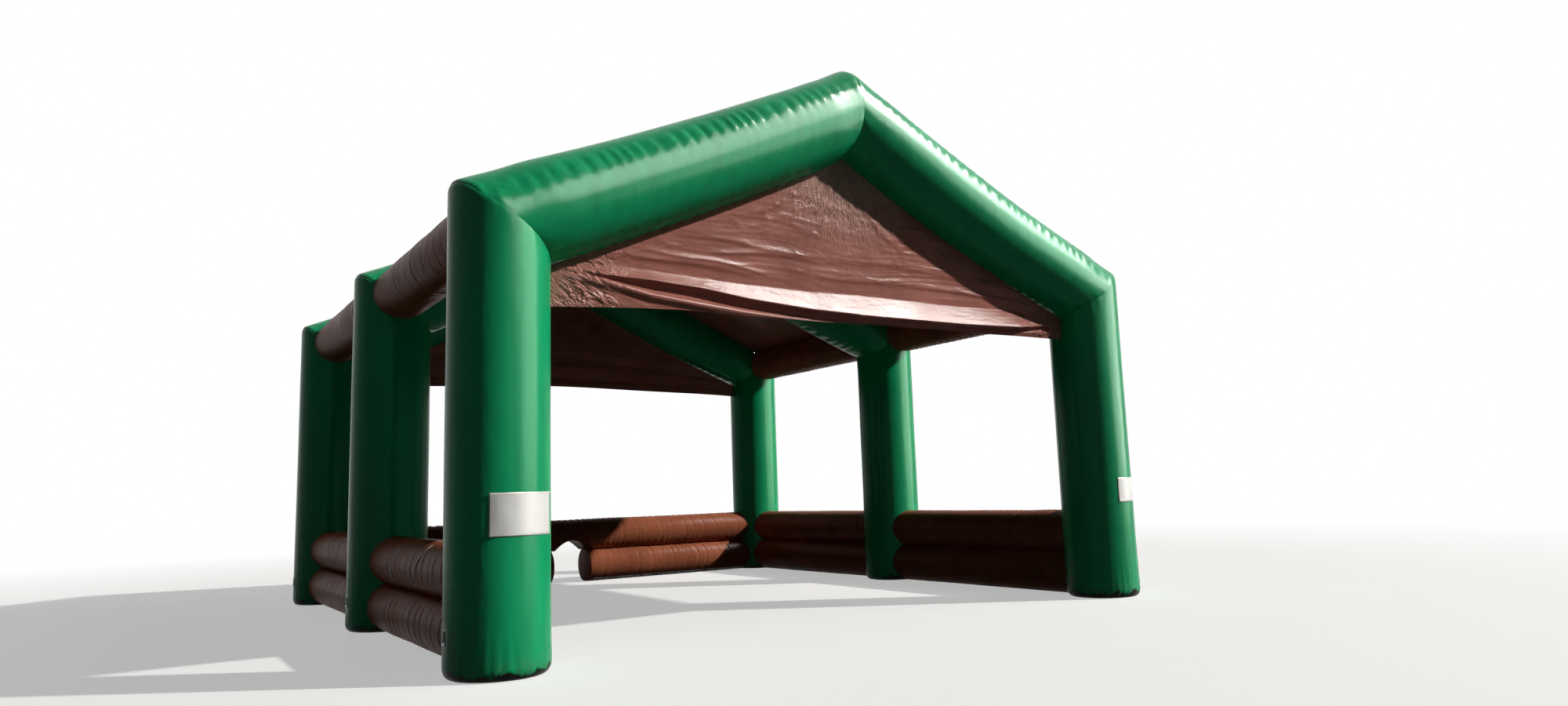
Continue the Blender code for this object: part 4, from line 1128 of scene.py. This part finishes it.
def gableGrid(look, hem):
    # Columns from leg to leg and rows from the hem to the rafters' undersides.
    edge = legX - arch["radius"] + arch["sewnIn"]
    x = np.broadcast_to(np.linspace(-edge, edge, look["columns"])[None, :], (look["rows"], look["columns"]))
    v = np.linspace(0, 1, look["rows"])[:, None] ** 1.4
    reach = (legX - np.abs(x)) / math.cos(pitch)
    axis = arch["ridgeZ"] - np.abs(x) * math.tan(pitch) - sagAt(reach, x > 0) / math.cos(pitch)
    top = axis - (arch["radius"] + swellAt(reach) - arch["sewnIn"]) / math.cos(pitch)
    low = hem(x)
    return x, low + (top - low) * v, v


def clothMetres(points):
    # Distances along the cloth from its left edge and up from its hem.
    across = np.linalg.norm(np.diff(points, axis=1), axis=2)
    upward = np.linalg.norm(np.diff(points, axis=0), axis=2)
    u = np.concatenate([np.zeros((points.shape[0], 1)), np.cumsum(across, axis=1)], axis=1)
    v = np.concatenate([np.zeros((1, points.shape[1])), np.cumsum(upward, axis=0)], axis=0)
    return np.stack([u, v], 2)


def frontHem(x):
    # The hem's line through its points, straight from one to the next, with a ripple.
    at, height = np.array(frontCloth["hem"]).T
    return np.interp(x, at, height) + 0.003 * np.sin(5.3 * x)


def billowed(look, x, v):
    # A gable cloth's plain billow, how far each point is from the legs, and how freely it
    # moves there and below the rafters.
    edge = legX - arch["radius"]
    fromSide = edge - np.abs(x)
    inside = eased(fromSide, 0.0, 0.35)
    billow = look["billow"] * np.cos(math.pi / 2 * x / edge) * np.cos(math.pi / 2 * v) ** 0.7
    return billow, fromSide, inside, inside * (1 - eased(v, 0.86, 1.0))


def makeFrontCloth(name, seed):
    # A billow towards the front, a shelf above the hem, folds, long creases that hang across,
    # others that fan from the peak and the corners; all dies out at the sewn edges.
    look = frontCloth
    x, z, v = gableGrid(look, frontHem)
    lift, fromSide, inside, held = billowed(look, x, v)
    lift = lift + shelf(x, z, look["shelf"]) + foldField(x, z, look["folds"]) * eased(fromSide, 0.0, 0.12)
    least, low, high = look["calm"]
    lift = lift + hanging(x, z, seed + 30) * held * (least + (1 - least) * eased(z, low, high))
    lift = lift + fan(x, z, *look["peak"], seed) * (1 - eased(v, 0.93, 1.0))
    for corner, more in zip(look["corners"], (5, 9)):
        lift = lift + fan(x, z, *corner, seed + more) * inside
    lift = lift + 0.008 * crumple(x, z, 0.11, 1.6, seed + 13) * held * eased(z, 4.1, 4.7)
    points = np.stack([x, archY["front"] - lift, z], 2)
    return surface(name, points, clothMetres(points), crease=80)


def hanging(x, z, seed):
    # Long shallow creases that run across and dip towards mid-span: a soft noise stretched
    # along lines of equal sag, kept where it passes its middle.
    level = z - 0.035 * x**2 / 3 + 0.05 * softNoise(x / 1.1, z / 0.6, seed)
    total = 0.006 * softNoise(x / 1.4, level / 0.13, seed + 1)
    for size, length, depth in ((0.085, 0.9, 0.0045), (0.045, 0.5, 0.003)):
        ridge = 1 - np.abs(softNoise(x / length, level / size, seed + 2)) * 2.4
        seed += 1
        total = total + depth * np.clip(ridge, 0, 1) ** 1.5
    return total


def rearHem(x):
    # Highest at mid-span, with a ripple.
    return rearCloth["hem"] + rearCloth["hemRise"] * (1 - (x / legX) ** 2) + 0.01 * np.sin(1.7 * x + 2)


def makeRearCloth(name, seed):
    # As the front cloth, plainer, billowing backwards, with a hem that rises at mid-span.
    look = rearCloth
    x, z, v = gableGrid(look, rearHem)
    lift, _, inside, held = billowed(look, x, v)
    lift = lift + foldField(x, z, look["folds"]) * inside
    for corner, count, depth in look["fans"]:
        lift = lift + fan(x, z, corner, count, 1.4, depth, 0.8, seed + count) * inside
    lift = lift + (hanging(x, z, seed + 30) + 0.004 * crumple(x, z, 0.3, 1.8, seed + 13)) * held
    points = np.stack([x, archY["rear"] + lift, z], 2)
    return surface(name, points, clothMetres(points), crease=80)


def areaOf(look, hem):
    # Flat area of a gable cloth: the gap between its hem and the rafters, as seen from the front.
    x, z, _ = gableGrid(look, hem)
    tall = z[-1] - z[0]
    return float((np.diff(x[0]) * (tall[1:] + tall[:-1]) / 2).sum())


canvasThick = 0.002
frontGable = makeFrontCloth("front_gable_sheet", 1600)
thicken(frontGable, canvasThick)
dress(frontGable, gableCanvas, ["front_gable_cloth"])
areaOf(frontCloth, frontHem)
rearGable = makeRearCloth("rear_gable_sheet", 1700)
thicken(rearGable, canvasThick)
dress(rearGable, brownCanvas, ["rear_gable_cloth"])
areaOf(rearCloth, rearHem)
print("gable cloths made")


# Roof cloth: one sheet over each bay, from one eave beam over the ridge to the other
roofLook = {"lift": 0.20, "sag": 0.095, "columns": 150, "rows": 90, "ripple": 0.010, "ripples": 3,
            "ridgeRound": 0.05, "endGap": 0.215}  # the gap lies between a leg's axis and the sewn end


def makeRoof(name, start, end, seed):
    # Height = the rafters' line + lift, rounded over the ridge, less a sag that is deepest
    # between the arches, with ripples along the slope and creases fanning from the corners.
    look = roofLook
    half = math.tan(pitch)
    edge = legX - look["endGap"] + arch["sewnIn"]
    x = np.broadcast_to(edge * np.linspace(-1, 1, look["columns"]), (look["rows"], look["columns"]))
    v = np.linspace(0, 1, look["rows"])[:, None]
    rise = (legX - np.sqrt(x**2 + look["ridgeRound"] ** 2)) * half
    share = np.clip(1 - np.abs(x) / legX, 0, 1)
    sag = look["sag"] * np.sin(math.pi * v) * np.sin(math.pi * 0.7 * share)
    ripple = look["ripple"] * np.sin(full * look["ripples"] * v + 0.8 * softNoise(x, v * 3, seed))
    ripple = ripple * np.sin(math.pi * share) ** 0.5 * np.sin(math.pi * v) ** 0.5
    z = arch["eaveZ"] + rise + look["lift"] / math.cos(pitch) - sag + ripple
    _, _, y = coped(start, end, x, z, v)
    held = np.sin(math.pi * np.clip(v, 0, 1)) ** 0.5 * eased(edge - np.abs(x), 0, 0.3)
    z = z + 0.012 * crumple(x, y, 0.5, 1.5, seed + 3) * held
    for cornerX in (-edge, edge):
        for cornerY in (start + 0.4, end - 0.4):
            z = z + fan(x, y, (cornerX, cornerY), 30, 1.2, 0.012, 0.8, seed + 5) * held
    points = np.stack([x, y, z], 2)
    return surface(name, points, clothMetres(points), crease=80)


for number, (bayName, start, end) in enumerate(bays):
    roof = makeRoof(f"{bayName}_roof_sheet", start, end, 1800 + 50 * number)
    thicken(roof, canvasThick)
    dress(roof, brownCanvas, [f"{bayName}_left_roof_cloth", f"{bayName}_right_roof_cloth"])
print("roof made")


# Sign panels on the front legs: bare white vinyl, wrapped on the leg's own surface
panels = {
    "left": {"bottom": 1.19, "top": 1.56, "first": -117, "last": -36},  # degrees from +X
    "right": {"bottom": 1.21, "top": 1.52, "first": -104, "last": -27},
}
panelCloth = {"thickness": 0.0015, "lift": 0.0025, "loose": 0.004, "ripple": 0.0012, "columns": 60,
              "rows": 34}


def onLeg(side, name, turn, z, lift):
    # Points that stand lift off the leg's detailed surface.
    seed = seeds[f"{name}_{side}"]
    radius = legRadius(z, turn, arch["eaveZ"] - z, seed) + lift
    return onSide(side, -legX - np.cos(turn) * radius, archY[name] - np.sin(turn) * radius, z)


def makePanel(name, side, look):
    # A rectangle in turn and height, lifted off the leg, with its corners a little loose.
    u, v = np.meshgrid(np.linspace(0, 1, panelCloth["columns"]), np.linspace(0, 1, panelCloth["rows"]))
    angle = np.radians(look["first"] + (look["last"] - look["first"]) * u)
    turn = angle + math.pi if side == "left" else -angle
    z = look["bottom"] + (look["top"] - look["bottom"]) * v
    loose = panelCloth["loose"] * (np.abs(2 * u - 1) ** 6) * (np.abs(2 * v - 1) ** 4)
    ripple = panelCloth["ripple"] * (softNoise(u * 7, v * 3, 77) + 1)
    points = onLeg(side, "front", turn, z, panelCloth["lift"] + loose + ripple)
    width = abs(math.radians(look["last"] - look["first"])) * arch["radius"]
    uv = np.stack([u * width, v * (look["top"] - look["bottom"])], 2)
    return surface(name, points, uv, crease=80), width


for side, look in panels.items():
    panel, width = makePanel(f"{side}_sign_sheet", side, look)
    height = look["top"] - look["bottom"]
    thicken(panel, panelCloth["thickness"])
    finish = panelVinyl(f"{side} panel vinyl", panelLook, width, height)
    dress(panel, finish, [f"{side}_sign_panel"])
print("panels made")


# Straps and tapes: flat strips carried along a path on a surface
def stripMetres(width, thickness, reach):
    # Distances round a strip's four sides and along it.
    around = np.cumsum((0, width, thickness, width, thickness))
    return np.stack(np.broadcast_arrays(around[None, :], reach[:, None]), 2)


def strip(name, centre, across, out, width, thickness, material, nodes=()):
    # A closed strip: four long edges at half a width to each side of the path, at its
    # underside and its face, with the ends shut.
    side = across * width / 2
    lift = out * thickness
    rows = np.stack([centre - side, centre + side, centre + side + lift, centre - side + lift], 1)
    steps = np.linalg.norm(np.diff(centre, axis=0), axis=1)
    reach = np.concatenate([[0], np.cumsum(steps)])
    return dress(tube(name, rows, stripMetres(width, thickness, reach), crease=40), material, nodes)


strapLook = {"width": 0.03, "thickness": 0.0025, "lift": 0.001, "lean": 1.4, "from": 1.05, "to": -0.62}
straps = ((0, 1.62, 1.92), (0, 2.68, 2.90), (1, 1.72, 1.94), (1, 2.62, 2.12))  # bay, y on top, y at the waist


def makeStrap(number, bayNumber, highY, lowY):
    # From the top of the upper log down its outer side to the waist, leaning along Y.
    look = strapLook
    _, start, end = bays[bayNumber]
    share = np.linspace(0, 1, 40)
    turn = look["from"] + (look["to"] - look["from"]) * share
    reach = highY + (lowY - highY) * share ** look["lean"]
    span = end - start
    seed = 1000 + 100 * bayNumber + 10
    radius = wallRadius("upper", reach, turn, span, seed)
    thick, z = chamber("upper", turn, radius + look["lift"])
    centre = np.stack([-legX - thick, start + reach, z], 1)
    out = np.stack([-np.cos(turn), 0 * turn, np.sin(turn)], 1)
    path = np.gradient(centre, axis=0)
    across = np.cross(out, path)
    across /= np.linalg.norm(across, axis=1)[:, None]
    strip(f"wall_strap_{number}_webbing", centre, across, out, look["width"], look["thickness"], paleWebbing,
          [f"wall_strap_{number}"])


for number, (bayNumber, highY, lowY) in enumerate(straps, 1):
    makeStrap(number, bayNumber, highY, lowY)


tapeLook = {"width": 0.035, "thickness": 0.002, "lift": 0.001, "turn": 3.35, "from": 0.62, "to": 4.0}


def makeRafterTape(name, archName, side):
    # A tape along a rafter's lower front, on its detailed surface.
    look = tapeLook
    reach = np.linspace(look["from"], look["to"], 130)
    seed = seeds[f"{archName}_{side}"] + 20
    turn = np.full(len(reach), look["turn"])
    radius = rafterRadius(reach, turn, reach, rafterLength - reach, seed) + look["lift"]
    out = outwards(turn, above)
    centre = out * radius[:, None] + reach[:, None] * slope - sagAt(reach, side == "right")[:, None] * above
    centre = centre + np.array((-legX, archY[archName], arch["eaveZ"]))
    across = np.cross(out, slope)
    if side == "right":
        flip = np.array((-1, 1, 1))
        centre, out, across = centre * flip, out * flip, across * flip
    strip(name, centre, across, out, look["width"], look["thickness"], paleWebbing)


for side in ("left", "right"):
    makeRafterTape(f"middle_{side}_rafter_tape", "middle", side)


hemTapeLook = {"width": 0.05, "thickness": 0.002, "lift": 0.001, "turn": -1.0, "from": 0.12, "gap": 0.03}


def makeHemTape(name, side, seed):
    # A pale tape along the foot of a rear lower log, on the side that faces the front.
    sign = -1 if side == "left" else 1
    edge = holeEdge(sign)
    reach = np.linspace(hemTapeLook["from"], legX - edge - arch["radius"] - hemTapeLook["gap"], 150)
    turn = np.full(len(reach), hemTapeLook["turn"])
    radius = wallRadius("lower", reach, turn, legX - edge, seed) + hemTapeLook["lift"]
    out = np.array((0.0, -math.cos(turn[0]), math.sin(turn[0])))
    centre = np.stack([sign * (edge + reach), archY["rear"] + out[1] * radius,
                       wallLook["lower"]["z"] + out[2] * radius], 1)
    across, out = (np.broadcast_to(way, centre.shape) for way in (np.cross(out, -left), out))
    strip(name, centre, across, out, hemTapeLook["width"], hemTapeLook["thickness"], paleWebbing)


makeHemTape("rear_hem_tape_left", "left", 1450)
makeHemTape("rear_hem_tape_right", "right", 1470)
print("straps and tapes made")


# Anchor points: a patch on the leg, a doubled webbing tab and the steel ring that hangs in it
anchorLook = {"z": 0.32, "patchWidth": 0.13, "patchHeight": 0.15, "patchLow": -0.045, "patchSkin": 0.0016,
              "tabWidth": 0.044, "tabHeight": 0.085, "eyeOut": 0.0085, "eye": 0.0048, "web": 0.0018,
              "flat": 0.45715, "sewnLow": 0.014, "faceLow": 0.016, "bendOut": 0.0006}


def makePatch(name, side, archName):
    # A rounded rectangle welded flat on the leg; its outline is a circle raised to the 5th power.
    look = anchorLook
    ring, share = np.meshgrid(turnsOf(48), np.array((0.5, 0.94, 1.0)))
    c, s = np.cos(ring), np.sin(ring)
    grow = (np.abs(c) ** 5 + np.abs(s) ** 5) ** (-1 / 5)
    across = share * grow * c * look["patchWidth"] / 2
    rise = share * grow * s * look["patchHeight"] / 2
    lift = np.where(share > 0.97, 0.0, look["patchSkin"])
    x = -legX - look["flat"] + 0.0004 - lift
    z = look["z"] + look["patchLow"] + look["patchHeight"] / 2 + rise
    points = onSide(side, x, archY[archName] + across, z)
    uv = np.stack([across, rise], 2)
    return tube(name, points, np.concatenate([uv, uv[:, :1]], axis=1), crease=35)


def makeTab(name, side, archName):
    # Webbing carried along a loop: down the patch, round the ring's bar and up again.
    look = anchorLook
    mid = look["eye"] + look["web"] / 2
    inner = look["eyeOut"] - mid  # the loop's back run lies this far off the leg
    turn = np.linspace(0, -math.pi, 14)
    top = look["tabHeight"]
    backOut, faceOut = (look["patchSkin"] + look["web"] * layers for layers in (0.5, 1.55))
    down = np.stack([np.full(8, backOut), np.linspace(top, look["sewnLow"], 8)], 1)
    join = np.array(((inner + look["bendOut"], look["sewnLow"] / 2),))
    loop = np.stack([look["eyeOut"] - mid * np.cos(turn), mid * np.sin(turn)], 1)
    face = np.stack([np.full(8, faceOut), np.linspace(look["faceLow"], top, 8)], 1)
    path = np.concatenate([down, join, loop, face])
    run = np.gradient(path, axis=0)
    run /= np.linalg.norm(run, axis=1)[:, None]
    normal = np.stack([run[:, 1], -run[:, 0]], 1) * look["web"] / 2
    wide = look["tabWidth"] / 2
    corners = []
    for across, sign in ((-wide, 1), (wide, 1), (wide, -1), (-wide, -1)):
        spot = path + sign * normal
        corners.append(onSide(side, -legX - look["flat"] - spot[:, 0], archY[archName] + across,
                              look["z"] + spot[:, 1]))
    rows = np.stack(corners, 1)
    steps = np.concatenate([[0], np.cumsum(np.linalg.norm(np.diff(path, axis=0), axis=1))])
    uv = stripMetres(2 * wide, look["web"], steps)
    return tube(name, rows, uv, crease=40)


for archName in arch["names"]:
    for side in ("left", "right"):
        label = f"{archName}_{side}_anchor"
        dress(makePatch(f"{label}_patch", side, archName), greenVinyl, ())
        dress(makeTab(f"{label}_webbing", side, archName), greyWebbing, [f"{label}_tab"])
        refinish(f"{label}_ring", steel)
print("anchors made")


# Inflation sleeve behind the rear right leg, its tie strap, and the deflation zip
sleeveLook = {"radius": 0.13, "neck": 0.112, "z": 0.21, "length": 0.50, "tieBack": 0.17, "tieWidth": 0.034,
              "tieLift": 0.0012, "tieThick": 0.0026, "pleats": 17, "pleatDepth": 0.008, "skin": 0.0015,
              "inLeg": 0.02, "slack": 0.006, "drawn": 0.0055, "drawReach": 0.075, "columns": 120}


def makeSleeve(name, seed):
    # A cloth tube along +Y, drawn in at the tie: pleats are deepest there and open out
    # towards the mouth, whose rim is turned a little.
    look = sleeveLook
    turn = turnsOf(look["columns"])
    mouth = arch["radius"] + look["length"]
    tie = mouth - look["tieBack"] + look["tieWidth"] / 2
    share = np.linspace(0, 1, 70)[:, None]
    root = arch["radius"] - look["inLeg"]
    reach = root + (mouth - root) * share
    close = bell(reach - tie, look["drawReach"])
    wander = softNoise(turn * 5 / full, reach / 0.2, seed) * 1.2
    pleats = look["pleatDepth"] * (0.25 + close) * np.cos(look["pleats"] * turn[None, :] + wander)
    pleats = pleats * eased(reach, root, arch["radius"] + 0.15)
    flare = look["slack"] * eased(reach, mouth - 0.04, mouth)
    neck = (look["radius"] - look["neck"] + look["drawn"]) * close
    radius = look["radius"] - look["slack"] - neck + pleats + flare
    x, z = np.cos(turn) * radius, look["z"] + np.sin(turn) * radius
    start = np.sqrt(np.clip(footRadius(z) ** 2 - x**2, 0.02, None)) - look["slack"]
    y = archY["rear"] + start + (mouth - start) * share
    points = np.stack([legX + x, y, z], 2)
    return surface(name, points, ringMetres(turn, look["radius"], reach), wrap=True, crease=80)


def makeTie(name):
    # Webbing pulled tight round the sleeve's neck.
    look = sleeveLook
    turn = turnsOf(72)
    mouth = arch["radius"] + look["length"]
    low = archY["rear"] + mouth - look["tieBack"]
    near = look["neck"] + look["tieLift"]
    far = near + look["tieThick"]
    outline = ((0.0, near), (0.0, far), (look["tieWidth"], far), (look["tieWidth"], near), (0.0, near))
    points = np.stack([np.stack([legX + np.cos(turn) * radius, low + along + 0 * turn,
                                 look["z"] + np.sin(turn) * radius], 1) for along, radius in outline])
    uv = ringMetres(turn, near, np.array((0.0, 0.003, 0.037, 0.04, 0.074))[:, None])
    piece = surface(name, points, uv, wrap=True, crease=40)
    weld = piece.modifiers.new("weld", "WELD")
    weld.merge_threshold = 0.0001
    return piece


sleeve = makeSleeve("inflation_sleeve_cloth", 1900)
thicken(sleeve, sleeveLook["skin"])
dress(sleeve, greenVinyl, ["inflation_sleeve"])
tie = makeTie("sleeve_tie_webbing")
dress(tie, greyWebbing, ["sleeve_tie_strap"])

refinish("deflation_zip", zipTape("black zip", zipLook))
refinish("deflation_zip_slider", steel)
print("sleeve and zip made")


# Camera, floor and light
view = {"place": (-6.870, -13.398, 1.493), "yaw": -33.873, "pitch": 7.874, "roll": -1.944, "focal": 1271.8,
        "imageWidth": 2000}
light = {
    "azimuth": -36,
    "elevation": 35,
    "sun": 3.3,
    "softness": 1.5,
    "sky": 0.015,  # as light; it is seen at full strength
    "floor": 0.55,  # how bright the floor's own colour is, where it is seen
    "glow": 0.44,
    "bounce": 0.014,  # the floor's colour for the light that it throws back
}
floorLook = {"half": 60.0, "z": -0.0005, "whitens": (11.0, 24.0)}  # from and to these distances
# Softboxes that only glossy rays see, as (azimuth, elevation, strength, softness, lit pieces)
softboxes = (
    (-36, 9, 8.5, 42, "green"),
    (-65, 34, 13.0, 38, "green"),
    (-30, 35, 8.0, 28, "green"),
    (-27, 48, 18.0, 22, None),
)


def makeCamera():
    # The fitted camera: look along yaw and pitch, then rolled about that line.
    yaw, tilt, roll = (math.radians(view[key]) for key in ("yaw", "pitch", "roll"))
    look = np.array((-math.sin(yaw) * math.cos(tilt), math.cos(yaw) * math.cos(tilt), math.sin(tilt)))
    right = np.array((math.cos(yaw), math.sin(yaw), 0.0))
    upward = np.cross(right, look)
    across = math.cos(roll) * right + math.sin(roll) * upward
    rise = -math.sin(roll) * right + math.cos(roll) * upward
    data = bpy.data.cameras.new("camera")
    data.sensor_width = 36
    data.sensor_fit = "HORIZONTAL"
    data.lens = view["focal"] * data.sensor_width / view["imageWidth"]
    made = bpy.data.objects.new("camera", data)
    bpy.context.scene.collection.objects.link(made)
    matrix = np.eye(4)
    matrix[:3, 0], matrix[:3, 1], matrix[:3, 2], matrix[:3, 3] = across, rise, -look, view["place"]
    made.matrix_world = Matrix(matrix.tolist())
    bpy.context.scene.camera = made


def makeLamp(name, azimuth, elevation, strength, softness, color):
    # A far lamp; azimuth and elevation say where it stands, and softness is its width in degrees.
    data = bpy.data.lights.new(name, "SUN")
    data.energy = strength
    data.angle = math.radians(softness)
    data.color = color
    made = bpy.data.objects.new(name, data)
    bpy.context.scene.collection.objects.link(made)
    made.rotation_euler = (0, math.pi / 2 - math.radians(elevation), math.radians(azimuth))
    return made


def makeLamps():
    # The sun, and softboxes that make the green tubes shine. The two left legs behind the
    # front one stand in the shade and stay dull.
    makeLamp("sun", light["azimuth"], light["elevation"], light["sun"], light["softness"], (1.0, 0.96, 0.90))
    tubes = bpy.data.collections.new("green tubes")
    for piece in bpy.context.scene.objects:
        shaded = piece.name.startswith(("middle_left_leg", "rear_left_leg"))
        if piece.name.endswith(("leg_skin", "rafter_skin", "sign_sheet")) and not shaded:
            tubes.objects.link(piece)
    for number, (azimuth, elevation, strength, softness, only) in enumerate(softboxes, 1):
        lamp = makeLamp(f"softbox {number}", azimuth, elevation, strength, softness, (1.0, 0.98, 0.94))
        lamp.visible_diffuse = False
        if only:
            lamp.light_linking.receiver_collection = tubes


def seenRays(tree):
    # 1 for what the camera, a reflection or glass sees, and 0 for plain light.
    ray = add(tree, "LightPath").outputs
    mirrored = calc(tree, "MAXIMUM", ray["Is Glossy Ray"], ray["Is Transmission Ray"])
    return calc(tree, "MAXIMUM", ray["Is Camera Ray"], mirrored)


def makeSky():
    # Pale where it is seen, and a dimmer cool sky as light.
    world = bpy.data.worlds.new("sky")
    bpy.context.scene.world = world
    world.use_nodes = True
    tree = world.node_tree
    seen = seenRays(tree)
    background = tree.nodes["Background"]
    plug(tree, background.inputs["Color"], mix(tree, seen, (0.70, 0.87, 1.0, 1), (1, 1, 1, 1)))
    plug(tree, background.inputs["Strength"], spread(tree, seen, 0, 1, light["sky"], 1.0))


def makeFloor():
    # A wide pale floor that whitens with distance; it throws back less light than it shows.
    half, below = floorLook["half"], floorLook["z"]
    points = np.array([[(x, y, below) for x in (-half, half)] for y in (-half, half)])
    floor = surface("floor", points, points[..., :2])
    made, tree, shader, place, _ = newMaterial("pale floor")
    seen = seenRays(tree)
    grain = noiseAt(tree, place, 0.6, 5.0)
    tones = (light["floor"] * 0.985, light["floor"], light["bounce"])
    dim, pale, bounce = ((tone,) * 3 + (1,) for tone in tones)
    shown = mix(tree, noiseSpread(tree, grain, 0, 1), dim, pale)
    finishShader(tree, shader, mix(tree, seen, bounce, shown), 0.9, 0.1)
    away = add(tree, "VectorMath", {0: place}, operation="LENGTH").outputs["Value"]
    far = spread(tree, away, *floorLook["whitens"], 0.0, 1.0)
    glow = add(tree, "Emission", {"Color": (1, 1, 1, 1), "Strength": 1.0})
    plug(tree, shader.inputs["Emission Color"], (1, 1, 1, 1))
    plug(tree, shader.inputs["Emission Strength"], product(tree, seen, light["glow"]))
    blend = add(tree, "MixShader", {0: product(tree, far, seen), 1: shader.outputs[0], 2: glow.outputs[0]})
    tree.links.new(blend.outputs[0], tree.nodes["Material Output"].inputs["Surface"])
    floor.data.materials.append(made)


makeCamera()
makeLamps()
makeSky()
makeFloor()
bpy.context.scene.view_settings.view_transform = "Standard"
print("camera, floor and light made")
